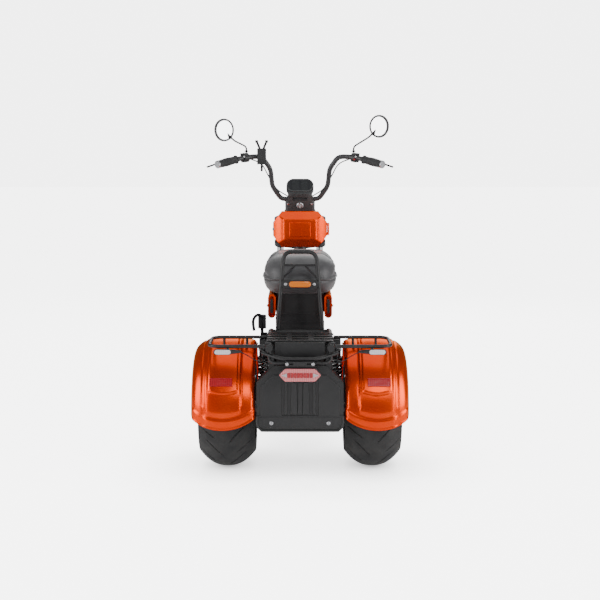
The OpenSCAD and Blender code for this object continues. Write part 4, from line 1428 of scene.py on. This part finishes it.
@dataclass
class SpringDampers:
    """Both rear shock absorbers, with wound springs."""

    foot_back: float = 75 * MM
    foot_z: float = 262 * MM
    head_back: float = 108 * MM
    head_z: float = 468 * MM
    wire: float = 3.6 * MM
    coil: float = 17 * MM
    turns: float = 9.0
    foot_gap: float = 30 * MM
    head_gap: float = 40 * MM
    cap: tuple[tuple[float, float], ...] = (
        (0, 40), (15, 40), (21, 36), (21, 30), (13, 28), (11, 14), (0, 14),
    )

    def build(self) -> None:
        """Builds the dampers, their eyes and their springs."""
        x_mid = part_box("shocks")[1].x - 21 * MM
        axle_y = joint_place("rear_left_spin").y
        foot = Vector((0, axle_y - self.foot_back, self.foot_z))
        head = Vector((0, axle_y - self.head_back, self.head_z))
        dampers, rods, springs = Shape(), Shape(), Shape()
        for side in (-1, 1):
            a, b = foot + Vector((side * x_mid, 0, 0)), head + Vector((side * x_mid, 0, 0))
            at = facing(a, b - a)
            length = (b - a).length
            dampers.lathe([*mm((0, 14), (12, 14), (12.5, 20), (21, 22), (21, 27), (12, 29)),
                           (12 * MM, length * 0.55), (9 * MM, length * 0.56), (0, length * 0.56)], at)
            dampers.lathe([(r * MM, length - down * MM) for r, down in self.cap], at)
            rods.lathe([(0, length * 0.5), (6 * MM, length * 0.5), (6 * MM, length - 34 * MM),
                        (0, length - 34 * MM)], at, 24)
            for end in (a, b):
                eye = facing(end - Vector((11 * MM, 0, 0)), (1, 0, 0))
                dampers.lathe(mm((6, 0), (12.5, 0), (13.5, 2), (13.5, 20), (12.5, 22), (6, 22), (6, 0)),
                              eye, 32)
                for face in (-1, 1):
                    rods.bolt(end + Vector((face * 11.5 * MM, 0, 0)), (face, 0, 0), 6 * MM)
            steps = int(self.turns * 26)
            span = length - self.head_gap - self.foot_gap - self.wire
            route = []
            for i in range(steps + 1):
                turn = 2 * math.pi * self.turns * i / steps
                z = self.foot_gap + self.wire / 2 + span * i / steps
                route.append(at @ Vector((self.coil * math.cos(turn), self.coil * math.sin(turn), z)))
            springs.tube(route, self.wire, 10)
        dampers.piece("damper_bodies", SPRING_BLACK, Body.FRAME, edge=0.6 * MM, replaces=["shocks"])
        rods.piece("damper_rods", CHROME, Body.FRAME)
        springs.piece("springs", SPRING_BLACK, Body.FRAME)


@dataclass
class CarrierTrim:
    """The hoop's amber reflector and the rack's rubber pads."""

    def build_reflector(self) -> None:
        """Builds the amber reflector on its black plate."""
        low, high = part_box("hoop_reflector")
        mid_z = (low.z + high.z) / 2
        place = facing((0, low.y, mid_z), (0, -1, 0))
        plate = Shape()
        outline = oval(high.x - 1 * MM, (high.z - low.z) / 2, 14)
        plate.prism(outline, -(high.y - low.y), -4.5 * MM, place)
        plate.piece("reflector_plate", BLACK_PLASTIC, Body.FRAME, edge=1.2 * MM, replaces=["hoop_reflector"])
        pill = Shape()
        rows = []
        for z, shrink in ((-4.6, 0.0), (-2.0, 0.2), (-0.6, 1.2), (0.0, 3.2)):
            ring = oval((43 - shrink) * MM, (11.5 - shrink) * MM, 14)
            rows.append([place @ Vector((x, y, z * MM)) for x, y in ring])
        pill.grid(rows, closed_rows=True)
        pill.bm.faces.new([pill.bm.verts.new(p) for p in rows[-1]])
        pill.piece("amber_reflector", AMBER_LENS, Body.FRAME)
        bolts = Shape()
        for side in (-1, 1):
            bolts.bolt((side * 56 * MM, low.y + 4.3 * MM, mid_z), (0, -1, 0), 4.4 * MM)
        bolts.piece("reflector_bolts", SATIN_ALLOY, Body.FRAME)

    def build_pads(self) -> None:
        """Builds the rubber pads on the rack."""
        low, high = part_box("luggage_rack")
        pads = Shape()
        for side in (-1, 1):
            for y in (low.y + 30 * MM, high.y - 26 * MM):
                at = facing((side * 118 * MM, y, high.z - 3.5 * MM), (0, 0, 1))
                pads.lathe(mm((0, -2), (9, -2), (10, 0), (8.5, 3.0), (0, 3.4)), at, 28)
        pads.piece("rack_pads", GRIP_RUBBER, Body.FRAME)

    def build(self) -> None:
        """Builds the reflector and the rack's pads."""
        self.build_reflector()
        self.build_pads()


# ---- Saddle and middle ----


@dataclass
class Saddle:
    """The padded seat: crowned top, pulled-in sides, piping, stitches and sewn channels."""

    shrink: float = 2.5 * MM
    voxel: float = 6 * MM
    pressure: float = 4.0
    cap: float = 24 * MM
    held: float = 26 * MM
    frames: int = 20
    seam_share: float = 0.15
    levels: tuple[tuple[float, float], ...] = (
        (0.0, 0), (0.05, 0), (0.14, 0), (0.3, 0), (0.46, 4), (0.62, 12), (0.76, 26), (0.87, 46),
        (0.94, 72), (0.97, 110),
    )
    skirt: tuple[tuple[float, float], ...] = (
        (0.0, 40), (0.02, 33), (0.12, 25), (0.35, 17), (0.62, 12), (0.86, 9), (1.0, 8), (1.16, 8), (1.3, 14),
    )
    piping: float = 2.8 * MM
    stitch: float = 7 * MM

    def plan(self, turn: float, grow: float) -> tuple[float, float]:
        """Works out the seat's plan.

        Args:
            turn: Angle round it, in radians; 0 is its right side.
            grow: How far outside the seat's own outline.

        Returns:
            Place across and along, about its middle.
        """
        power = 0.52
        c, s = math.cos(turn), math.sin(turn)
        x = math.copysign(abs(c) ** power, c) * (self.half_x + grow)
        y = math.copysign(abs(s) ** power, s) * (self.half_y + grow)
        narrow = 1.0 - 0.2 * smooth_step(y / self.half_y, 0.1, 1.0)
        narrow -= 0.03 * smooth_step(-y / self.half_y, 0.4, 1.0)
        return x * narrow, y

    def blank(self) -> bpy.types.Object:
        """Makes the cushion's cut shape, a little smaller than the finished one.

        Returns:
            The blank.
        """
        shape = Shape()
        around, rows = 72, []
        tall = self.high - self.low
        for share, inset in self.levels:
            row = []
            for i in range(around):
                x, y = self.plan(2 * math.pi * i / around, -self.shrink - inset * MM)
                dish = 1.0 - 0.05 * smooth_step(-abs(y + 20 * MM) / self.half_y, -0.7, 0.0) * (share > 0.8)
                row.append((x, self.mid_y + y, self.low + tall * share * dish))
            rows.append(row)
        shape.grid(rows, closed_rows=True)
        for row in (rows[0][::-1], rows[-1]):
            shape.bm.faces.new([shape.bm.verts.new(p) for p in row])
        bmesh.ops.remove_doubles(shape.bm, verts=shape.bm.verts, dist=0.01 * MM)
        bmesh.ops.recalc_face_normals(shape.bm, faces=shape.bm.faces)
        return shape.plain("saddle")

    def inflate(self, obj: bpy.types.Object) -> None:
        """Fills the cushion by a cloth simulation, and keeps the result.

        Args:
            obj: The blank, changed in place.
        """
        remesh = obj.modifiers.new("remesh", "REMESH")
        remesh.mode, remesh.voxel_size = "VOXEL", self.voxel
        self.apply(obj)
        rest = [v.co.copy() for v in obj.data.vertices]
        cloth = obj.modifiers.new("cloth", "CLOTH")
        cloth.settings.use_pressure = True
        cloth.settings.uniform_pressure_force = self.pressure
        cloth.settings.effector_weights.gravity = 0.0
        cloth.settings.tension_stiffness = cloth.settings.compression_stiffness = 30.0
        cloth.settings.bending_stiffness = 3.0
        for step in range(1, self.frames + 1):
            bpy.context.scene.frame_set(step)
        self.apply(obj)
        bpy.context.scene.frame_set(1)
        for vert, start in zip(obj.data.vertices, rest):
            moved = vert.co - start
            if moved.length > self.cap:
                vert.co = start + moved.normalized() * self.cap
            freed = smooth_step(start.z, self.low, self.low + self.held)
            vert.co.x = start.x + (vert.co.x - start.x) * freed
            vert.co.y = start.y + (vert.co.y - start.y) * freed
            vert.co.z = max(vert.co.z, self.low + 0.3 * MM)
            vert.co.z = min(vert.co.z, self.high + 4 * MM)
        smooth = obj.modifiers.new("smooth", "SMOOTH")
        smooth.factor, smooth.iterations = 0.5, 5
        self.apply(obj)

    def apply(self, obj: bpy.types.Object) -> None:
        """Turns an object's modifiers into its own mesh.

        Args:
            obj: The object, changed in place.
        """
        graph = bpy.context.evaluated_depsgraph_get()
        made = bpy.data.meshes.new_from_object(obj.evaluated_get(graph))
        obj.modifiers.clear()
        obj.data = made

    def outline_at(self, tree: BVHTree, z: float, steps: int, proud: float) -> list[Vector]:
        """Finds the cushion's outline at a height.

        Args:
            tree: The cushion's surface.
            z: The height.
            steps: Points round it.
            proud: How far outside the surface.

        Returns:
            The points.
        """
        made = []
        for i in range(steps):
            x, y = self.plan(2 * math.pi * i / steps, 80 * MM)
            start = Vector((x, self.mid_y + y, z))
            inward = (Vector((0.25 * x, self.mid_y + 0.25 * y, z)) - start).normalized()
            hit = tree.ray_cast(start, inward)[0]
            if hit is not None:
                made.append(hit - inward * proud)
        return made

    def build_seams(self, tree: BVHTree) -> None:
        """Sews the piping, its stitches and the channels across the top.

        Args:
            tree: The cushion's surface.
        """
        seam = self.low + (self.high - self.low) * self.seam_share
        piping = Shape()
        piping.tube(self.outline_at(tree, seam, 200, 0.5 * MM), self.piping, 8, loop=True)
        for y_share in (-0.34, 0.3):
            route = []
            for i in range(41):
                x = (-1 + 2 * i / 40) * self.half_x * 0.96
                y = self.mid_y + self.half_y * y_share + 26 * MM * (1 - (x / self.half_x) ** 2)
                hit = tree.ray_cast(Vector((x, y, self.high + 0.2)), Vector((0, 0, -1)))[0]
                if hit is not None and hit.z > seam:
                    route.append(hit + Vector((0, 0, 0.2 * MM)))
            piping.tube(route, 1.9 * MM, 8)
        piping.piece("saddle_piping", SEAT_LEATHER, Body.FRAME)
        thread = Shape()
        for above in (-7 * MM, 7 * MM):
            ring = self.outline_at(tree, seam + above, 340, 0.35 * MM)
            for a, b in zip(ring[::2], ring[1::2]):
                if (b - a).length < 2 * self.stitch:
                    thread.tube([a.lerp(b, 0.1), a.lerp(b, 0.9)], 0.55 * MM, 5)
        thread.piece("saddle_stitches", GRIP_RUBBER, Body.FRAME)

    def build_skirt(self) -> None:
        """Builds the skirt that closes the seat from below."""
        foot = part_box("seat_pan")[0].z
        tall = self.low - foot
        rows = []
        for share, inset in self.skirt:
            ring = [self.plan(2 * math.pi * i / 120, -inset * MM) for i in range(120)]
            rows.append([(x, self.mid_y + y, foot + tall * share) for x, y in ring])
        shape = Shape()
        shape.grid(rows, closed_rows=True)
        shape.bm.faces.new([shape.bm.verts.new(p) for p in rows[0][::-1]])
        shape.piece("saddle_skirt", SEAT_LEATHER, Body.FRAME, replaces=["seat_pan"], sharp=60.0)

    def build(self) -> None:
        """Builds the seat."""
        low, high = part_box("seat")
        self.low, self.high = low.z, high.z
        self.half_x, self.half_y = (high.x - low.x) / 2, (high.y - low.y) / 2
        self.mid_y = (low.y + high.y) / 2
        obj = self.blank()
        self.inflate(obj)
        graph = bpy.context.evaluated_depsgraph_get()
        tree = BVHTree.FromObject(obj, graph)
        finer = obj.modifiers.new("finer", "SUBSURF")
        finer.levels = finer.render_levels = 1
        obj.data.shade_smooth()
        self.build_skirt()
        dress(obj, SEAT_LEATHER, Body.FRAME, ["seat"])
        self.build_seams(tree)


@dataclass
class MiddleTrim:
    """What is fixed to the battery box, the side panels, the footboard and the motor."""

    slits: int = 4
    slit_pitch: float = 30 * MM
    slit_tilt: float = 62.0
    mat_bars: int = 12
    mat_pitch: float = 17 * MM
    mat_bar: float = 8 * MM
    mat_inner: float = 38 * MM
    fins: int = 9
    fin_pitch: float = 11 * MM
    motor_r: float = 78 * MM
    fin_high: float = 3.5 * MM
    bolt_circle: float = 68 * MM
    bolt_x: float = 58 * MM

    def build_battery(self) -> None:
        """Builds the battery box's ribs, latch and charging cap."""
        low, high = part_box("battery_box")
        ribs = Shape()
        for i in range(7):
            z = low.z + (high.z - low.z) * (0.14 + 0.1 * i)
            ribs.box((low.x + 14 * MM, low.y - 2.2 * MM, z - 4 * MM),
                     (high.x - 14 * MM, low.y + 1 * MM, z + 4 * MM))
        for side, x in ((-1, low.x), (1, high.x)):
            for i in range(6):
                y = low.y + (high.y - low.y) * (0.12 + 0.15 * i)
                edge = sorted((x - side * 1 * MM, x + side * 2.4 * MM))
                ribs.box((edge[0], y - 5 * MM, low.z + 30 * MM), (edge[1], y + 5 * MM, high.z - 120 * MM))
        ribs.piece("battery_ribs", BLACK_PLASTIC, Body.FRAME, edge=1.2 * MM)
        cap = Shape()
        at = facing((low.x - 2 * MM, high.y - 60 * MM, low.z + 190 * MM), (-1, 0, 0))
        cap.lathe(mm((0, 0), (19, 0), (19, 3), (16, 5), (15, 3.5), (0, 3.5)), at)
        cap.box((-15 * MM, -2 * MM, 3 * MM), (15 * MM, 2 * MM, 6 * MM), at)
        cap.piece("charging_cap", GRIP_RUBBER, Body.FRAME)

    def build_panels(self) -> None:
        """Builds the side panels' slits and screws."""
        low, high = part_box("side_panels")
        slots, screws = Shape(), Shape()
        mid_z = (low.z + high.z) / 2
        for side in (-1, 1):
            x_mid = side * (high.x - 15.5 * MM)
            place = facing((x_mid, low.y, mid_z), (0, -1, 0))
            upright = place @ Matrix.Rotation(math.pi / 2, 4, "Z")
            slots.prism(oval(29 * MM, 5.0 * MM), -1 * MM, 1.2 * MM, upright)
            for i in range(self.slits):
                y = low.y + 60 * MM + i * self.slit_pitch
                at = facing((side * high.x, y, mid_z), (side, 0, 0))
                at = at @ Matrix.Rotation(math.radians(self.slit_tilt), 4, "Z")
                slots.prism(oval(24 * MM, 4.5 * MM), -1 * MM, 1.0 * MM, at)
            for y in (low.y + 28 * MM, high.y - 28 * MM):
                screws.bolt((side * high.x, y, mid_z), (side, 0, 0), 5 * MM)
        slots.piece("panel_slots", BLACK_PLASTIC, Body.FRAME, edge=0.8 * MM)
        screws.piece("panel_screws", SATIN_ALLOY, Body.FRAME)

    def build_footboard(self) -> None:
        """Builds the footboard's rubber mat from its bars."""
        low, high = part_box("footboard")
        mat = Shape()
        top = low.z + 12.3 * MM
        for side in (-1, 1):
            inner, outer = sorted((side * self.mat_inner, side * (high.x - 18 * MM)))
            for i in range(self.mat_bars):
                y = low.y + 24 * MM + i * self.mat_pitch
                mat.box((inner, y, top - 1 * MM), (outer, y + self.mat_bar, top + 2.6 * MM))
        mat.piece("foot_mat", GRIP_RUBBER, Body.FRAME, edge=1.2 * MM)

    def build_motor(self) -> None:
        """Builds the motor's fins, its bolts and its lead."""
        axle = joint_place("rear_left_spin")
        fins, bolts = Shape(), Shape()
        at = facing((0, axle.y, axle.z), (1, 0, 0))
        root, tip = self.motor_r, self.motor_r + self.fin_high
        for i in range(self.fins):
            z = (i - (self.fins - 1) / 2) * self.fin_pitch
            fins.lathe([(root, z - 2 * MM), (tip, z - 1.4 * MM), (tip, z + 1.4 * MM), (root, z + 2 * MM)],
                       at, 64)
        fins.piece("motor_fins", CAST_GREY, Body.FRAME)
        for side in (-1, 1):
            for i in range(8):
                a = 2 * math.pi * (i + 0.5) / 8
                place = (side * self.bolt_x, axle.y + self.bolt_circle * math.sin(a),
                         axle.z + self.bolt_circle * math.cos(a))
                bolts.bolt(place, (side, 0, 0), 3.6 * MM)
        bolts.piece("motor_bolts", SATIN_ALLOY, Body.FRAME)
        lead = Shape()
        start = Vector((30 * MM, axle.y + 58 * MM, axle.z + 52 * MM))
        route = [start, start + Vector((6 * MM, 40 * MM, 46 * MM)),
                 start + Vector((20 * MM, 130 * MM, 66 * MM)),
                 Vector((52 * MM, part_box("battery_box")[0].y + 1 * MM, start.z + 96 * MM))]
        lead.tube(rounded_route(route, 40 * MM), 5.5 * MM, 12)
        lead.piece("motor_lead", CABLE_SLEEVE, Body.FRAME)

    def build(self) -> None:
        """Builds all of it."""
        self.build_battery()
        self.build_panels()
        self.build_footboard()
        self.build_motor()


# ---- Steering ----


@dataclass
class Door:
    """The storage box's door: a flat middle, straight slopes above and below, and swept sides."""

    flat_x: float = 66 * MM
    flat_z: float = 43 * MM
    deep: float = 37 * MM
    proud: float = 4.5 * MM
    wall: float = 2.6 * MM
    half_w: float = 119.5 * MM
    half_h: float = 0.0
    cut_x: float = 0.339
    cut_z: float = 0.186
    panel_w: float = 47 * MM
    panel_h: float = 32 * MM
    around: int = 168
    across: int = 44

    def depth(self, x: float, z: float) -> float:
        """Gives how far the door stands out at a place.

        Args:
            x: Place across, from the door's middle.
            z: Place up, from the door's middle.

        Returns:
            The distance from its rim's plane, in metres.
        """
        side = max(0.0, (abs(x) - self.flat_x) / (self.half_w - self.flat_x))
        slope = max(0.0, (abs(z) - self.flat_z) / (self.half_h - self.flat_z))
        swept = 1.0 - 0.86 * side ** 1.55
        straight = 1.0 - 0.74 * slope
        return self.deep * max(0.08, min(swept, straight))

    def outline(self, turn: float) -> float:
        """Gives how far the eight-sided rim is from the middle in a direction.

        Args:
            turn: The direction, in radians.

        Returns:
            The distance in metres.
        """
        c, s = abs(math.cos(turn)), abs(math.sin(turn))
        cut_x, cut_z = self.half_w * 2 * self.cut_x, self.half_h * 2 * self.cut_z
        reach = min(self.half_w / max(c, 1e-9), self.half_h / max(s, 1e-9))
        nx, nz = self.half_h - cut_z, self.half_w - cut_x
        line = nx * cut_x + nz * self.half_h
        return min(reach, line / (nx * c + nz * s))

    def build(self) -> None:
        """Builds the shell, its hinge, panel and lock."""
        low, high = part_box("box_door")
        box_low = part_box("storage_box")[0]
        self.half_h = (high.z - low.z) / 2
        mid_z, back = (low.z + high.z) / 2, low.y + self.deep + self.proud
        rows = []
        for j in range(self.across + 1):
            share = j / self.across
            row = []
            for i in range(self.around):
                turn = 2 * math.pi * i / self.around
                r = self.outline(turn) * share
                x, z = r * math.cos(turn), r * math.sin(turn)
                row.append((x, back - self.depth(x, z), mid_z + z))
            rows.append(row)
        rows.append([(x, back + 1.2 * MM, z) for x, _, z in rows[-1]])
        shape = Shape()
        shape.grid(rows, closed_rows=True)
        bmesh.ops.remove_doubles(shape.bm, verts=shape.bm.verts, dist=0.02 * MM)
        shape.piece("storage_door", ORANGE, Body.DOOR, replaces=["box_door"], sharp=24.0, thickness=self.wall)
        panel = Shape()
        place = facing((0, back - self.deep, mid_z), (0, -1, 0))
        w, h = self.panel_w, self.panel_h
        panel.prism([(-w, -h), (w, -h), (w, h), (-w, h)], -2 * MM, self.proud - 0.8 * MM, place)
        panel.piece("door_panel", ORANGE, Body.DOOR, edge=3.2 * MM)
        lock = Shape()
        edge = facing((low.x + 5 * MM, back - 5 * MM, mid_z), (-1, 0, 0))
        lock.lathe(mm((0, -6), (6, -6), (6, 2), (5, 3.2), (0, 3.2)), edge, 32)
        lock.box((-0.8 * MM, -3.4 * MM, 3 * MM), (0.8 * MM, 3.4 * MM, 3.7 * MM), edge)
        lock.piece("door_lock", SATIN_ALLOY, Body.DOOR)
        hinge_at = joint_place("box_door_swing")
        hinge = Shape()
        barrel = facing((hinge_at.x, hinge_at.y, mid_z - 15 * MM), (0, 0, 1))
        hinge.lathe(mm((0, 0), (4.8, 0), (5, 0.5), (5, 29.5), (4.8, 30), (0, 30)), barrel)
        hinge.piece("door_hinge", ORANGE, Body.DOOR)
        seal = Shape()
        ring = []
        for i in range(96):
            turn = 2 * math.pi * i / 96
            r = self.outline(turn) - 2.2 * MM
            ring.append(Vector((r * math.cos(turn), box_low.y + 6 * MM, mid_z + r * math.sin(turn))))
        seal.tube(ring, 1.5 * MM, 6, loop=True)
        seal.piece("box_seal", GRIP_RUBBER, Body.FRAME)


@dataclass
class Grips:
    """Both hand grips: waisted rubber with ribs, an inner flange and a bright end ring."""

    bar_bend: tuple[float, float, float] = (262 * MM, 191.5 * MM, 1172 * MM)
    bar_end: tuple[float, float, float] = (345 * MM, 116.5 * MM, 1150 * MM)
    past_bend: float = 22 * MM
    past_end: float = 12 * MM
    thick: float = 15.6 * MM
    swell: float = 2.0 * MM
    rib_high: float = 1.0 * MM
    flange_high: float = 3.4 * MM
    collar_high: float = 1.6 * MM
    ribs: int = 15
    sides: int = 32
    steps: int = 150

    def radius(self, t: float) -> float:
        """Gives the rubber's radius at a share of its length.

        Args:
            t: Share of the grip's length, from 0 to 1.

        Returns:
            The radius in metres.
        """
        body = self.thick + self.swell * math.sin(math.pi * min(1.0, max(0.0, (t - 0.08) / 0.9))) ** 2
        rib = self.rib_high * (0.5 + 0.5 * math.cos(2 * math.pi * self.ribs * t)) if 0.12 < t < 0.9 else 0.0
        flange = self.flange_high * (1 - smooth_step(t, 0.03, 0.06))
        collar = self.collar_high * smooth_step(t, 0.93, 0.95)
        return body + rib + flange + collar

    def build(self) -> None:
        """Builds the grips and their end rings."""
        start, end = Vector(self.bar_bend), Vector(self.bar_end)
        axis = (end - start).normalized()
        tip = end + axis * self.past_end
        begin = start + axis * self.past_bend
        length = (tip - begin).length
        rubber, rings = Shape(), Shape()
        for side in (-1, 1):
            flip = Vector((side, 1, 1))
            spots = [begin + axis * length * i / self.steps for i in range(self.steps + 1)]
            rubber.tube([Vector(a * b for a, b in zip(p, flip)) for p in spots], self.radius, self.sides)
            out = Vector(a * b for a, b in zip(axis, flip))
            at = facing(Vector(a * b for a, b in zip(tip, flip)), out)
            rings.lathe(mm((0, -2), (15.5, -2), (17, 0), (17, 4), (15, 6.5), (0, 7)), at)
        rubber.piece("grip_rubbers", GRIP_RUBBER, Body.STEERING, replaces=["grips"])
        rings.piece("grip_end_rings", SATIN_ALLOY, Body.STEERING)


@dataclass
class Mirrors:
    """Glass, rim lip and stem nut of both mirrors."""

    left: tuple[float, float] = (334 * MM, 1296 * MM)
    right: tuple[float, float] = (348 * MM, 1312 * MM)
    ahead: float = 792.8 * MM
    stem_x: float = 235 * MM
    shell: float = 6 * MM
    glass: float = 41.0 * MM
    yaw: float = 37.0

    def build(self) -> None:
        """Builds the glass discs, their lips and the stem nuts."""
        glass, lips, nuts = Shape(), Shape(), Shape()
        centre_y = self.ahead + joint_place("rear_left_spin").y
        yaw = math.radians(self.yaw)
        r = self.glass
        for side, node, (x, z) in ((-1, "mirror_left", self.left), (1, "mirror_right", self.right)):
            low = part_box(node)[0]
            out = Vector((side * -math.sin(yaw), -math.cos(yaw), 0))
            at = facing(Vector((side * x, centre_y, z)) + out * self.shell, out)
            glass.lathe([(0, 0.9 * MM), (r * 0.5, 0.8 * MM), (r * 0.85, 0.6 * MM), (r, 0.3 * MM),
                         (r, -0.5 * MM), (0, -0.5 * MM)], at, 72)
            lips.lathe([(r + 0.2 * MM, -1 * MM), (r + 0.5 * MM, 1.6 * MM), (r + 2.5 * MM, 2.4 * MM),
                        (49.4 * MM, 1.4 * MM), (50 * MM, -1.5 * MM), (r + 0.2 * MM, -1 * MM)], at, 72)
            nuts.bolt((side * self.stem_x, centre_y - 4 * MM, low.z + 3 * MM), (0, 0, 1), 7 * MM)
        glass.piece("mirror_glass", MIRROR_FACE, Body.STEERING, sharp=50.0)
        lips.piece("mirror_lips", BLACK_PLASTIC, Body.STEERING)
        nuts.piece("mirror_nuts", BLACK_ALLOY, Body.STEERING)


@dataclass
class Cockpit:
    """The display's bezel and glass, the clamp bolts, the lock's collar and the switches' buttons."""

    head_rake: float = 24.0
    display_tilt: float = 40.0
    bezel_w: float = 61.0
    bezel_h: float = 32.0
    glass_w: float = 54.5 * MM
    glass_h: float = 25.5 * MM
    keys: tuple[tuple[float, float], ...] = ((-6, 8), (4, 4), (-2, -7))
    clamp_face: tuple[float, float, float] = (0, -0.914, -0.407)
    switch_x: float = 239 * MM
    switch_ahead: float = 780.8 * MM
    switch_z: float = 1175.8 * MM

    def build_display(self) -> None:
        """Builds the display's bezel and glass."""
        low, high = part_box("display")
        rake = math.radians(self.display_tilt + self.head_rake)
        bezel, glass = Shape(), Shape()
        normal = Vector((0, -math.sin(rake), math.cos(rake)))
        top = self.centre(low, high) + normal * 14 * MM
        at = facing(top, normal, (0, 1, 0))
        rows = []
        for z, shrink in ((-1.5, 0.6), (0.6, 1.2), (1.2, 3.0), (0.4, 6.0), (-0.4, 6.5)):
            ring = oval((self.bezel_w - shrink) * MM, (self.bezel_h - shrink) * MM, 20)
            rows.append([at @ Vector((x, y, z * MM)) for x, y in ring])
        bezel.grid(rows, closed_rows=True)
        bezel.piece("display_bezel", CASE_GREY, Body.STEERING)
        glass.prism(oval(self.glass_w, self.glass_h, 20), -1.2 * MM, 0.3 * MM, at)
        glass.piece("display_glass", SCREEN, Body.STEERING)

    def centre(self, low: Vector, high: Vector) -> Vector:
        """Finds the middle of the display's case from its box.

        Args:
            low: The case's lowest corner.
            high: The case's highest corner.

        Returns:
            The middle.
        """
        return Vector((0, low.y + 23.2 * MM, high.z - 25 * MM))

    def build_clamps(self) -> None:
        """Builds the lock's collar and the bar clamps' bolts."""
        low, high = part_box("handlebar_riser")
        plate, bolts = Shape(), Shape()
        lock_low, lock_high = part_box("ignition_lock")
        mid = (lock_low + lock_high) / 2
        rake = math.radians(self.head_rake)
        out = Vector((0, -math.cos(rake), -math.sin(rake)))
        at = facing(Vector((0, lock_low.y + 12 * MM, mid.z + 1 * MM)), out)
        plate.lathe(mm((9, 0), (14, 0), (15, 1.5), (12.5, 3.5), (9, 3.5), (9, 0)), at, 40)
        plate.piece("lock_collar", SATIN_ALLOY, Body.STEERING)
        for side in (-1, 1):
            for along in (-6, 6):
                spot = Vector((side * 44 * MM, low.y + 8 * MM, high.z - 12 * MM + along * MM))
                bolts.bolt(spot, self.clamp_face, 4 * MM)
            bolts.bolt((side * 52 * MM, low.y + 18 * MM, high.z - 44 * MM), self.clamp_face, 5 * MM)
        bolts.piece("clamp_bolts", SATIN_ALLOY, Body.STEERING)

    def build_switches(self) -> None:
        """Builds the thumb keys, the red start button and the pale horn buttons."""
        keys, red, pale = Shape(), Shape(), Shape()
        mid = Vector((self.switch_x, self.switch_ahead + joint_place("rear_left_spin").y, self.switch_z))
        for side in (-1, 1):
            for i, (dx, dz) in enumerate(self.keys):
                spot = Vector((side * (mid.x + dx * MM), mid.y - 18.2 * MM, mid.z + dz * MM))
                at = facing(spot, (0, -1, 0.1))
                target = red if side > 0 and i == 2 else (pale if i == 1 else keys)
                target.lathe(mm((0, -2), (4.2, -2), (4.2, 1.6), (3.4, 2.6), (0, 2.8)), at, 24)
        keys.piece("switch_keys", GRIP_RUBBER, Body.STEERING)
        red.piece("start_button", RED_LENS, Body.STEERING)
        pale.piece("horn_buttons", CLEAR_LENS, Body.STEERING)

    def build(self) -> None:
        """Builds all of it."""
        self.build_display()
        self.build_clamps()
        self.build_switches()


@dataclass
class FrontEnd:
    """Headlamp glass, its rim and inner lamps, and the front fender's stays."""

    lamp_z: float = 894.3 * MM
    lamp_r: float = 74 * MM
    bowl_x: float = 26 * MM
    stay_foot: tuple[float, float, float] = (68 * MM, 12 * MM, 40 * MM)
    stay_head: tuple[float, float, float] = (63 * MM, 143.84 * MM, 150 * MM)

    def build(self) -> None:
        """Builds what shows from the front."""
        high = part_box("headlamp")[1]
        at = facing((0, high.y, self.lamp_z), (0, 1, 0))
        r = self.lamp_r
        rim, glass, bowl = Shape(), Shape(), Shape()
        rim.lathe([(r - 4 * MM, -1 * MM), (r - 4 * MM, 1.5 * MM), (r + 2 * MM, 2.5 * MM),
                   (r + 6.2 * MM, 0.5 * MM), (r + 6.4 * MM, -9 * MM), (r + 5 * MM, -10 * MM)], at, 72)
        rim.piece("headlamp_rim", BLACK_ALLOY, Body.STEERING)
        glass.lathe([(0, 4 * MM), (r * 0.3, 3.7 * MM), (r * 0.6, 2.8 * MM), (r * 0.85, 1.4 * MM),
                     (r - 4 * MM, 0.2 * MM)], at, 72)
        glass.piece("headlamp_glass", HEADLAMP_GLASS, Body.STEERING, sharp=60.0)
        for x in (-self.bowl_x, self.bowl_x):
            lens_at = at @ Matrix.Translation((x, 0, -0.5 * MM))
            bowl.lathe(mm((0, 0), (20, 0), (23, 0.8), (24, 0.2)), lens_at, 40)
        bowl.piece("headlamp_bowls", CHROME, Body.STEERING)
        stays = Shape()
        hub = joint_place("front_wheel_spin")
        for side in (-1, 1):
            for way in (1, -1):
                foot = hub + Vector(a * b for a, b in zip(self.stay_foot, (side, way, 1)))
                head = hub + Vector(a * b for a, b in zip(self.stay_head, (side, way, 1)))
                elbow = foot.lerp(head, 0.5) + Vector((side * 3 * MM, 0, 0))
                stays.tube(rounded_route([foot, elbow, head], 20 * MM), 3.2 * MM, 8)
        stays.piece("fender_stays", BLACK_ALLOY, Body.STEERING)


def main() -> None:
    """Builds every sub-assembly in order."""
    logging.basicConfig(level=logging.INFO, format="%(name)s: %(message)s")
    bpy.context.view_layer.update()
    Studio().build()
    KeptParts().dress_all()
    for side, word, body in ((-1, "left", Body.WHEEL_LEFT), (1, "right", Body.WHEEL_RIGHT)):
        Tyre(f"rear_tyre_{word}", body, f"road_tyre_{word}", crown=60 * MM, rim_lip=112 * MM).build()
        WheelTrim(f"rear_rim_{word}", body, f"hub_nuts_{word}").build()
        Fender(f"rear_fender_{word}", side, f"fender_{word}").build()
    Tyre("front_tyre", Body.WHEEL_FRONT, "road_tyre_front", crown=36 * MM, rim_lip=162 * MM).build()
    TailLamp().build()
    TurnLamps().build()
    PlateLamp().build()
    CoverTrim().build()
    SpringDampers().build()
    CarrierTrim().build()
    Saddle().build()
    MiddleTrim().build()
    Door().build()
    Grips().build()
    Mirrors().build()
    Cockpit().build()
    FrontEnd().build()


if __name__ == "__main__":
    main()
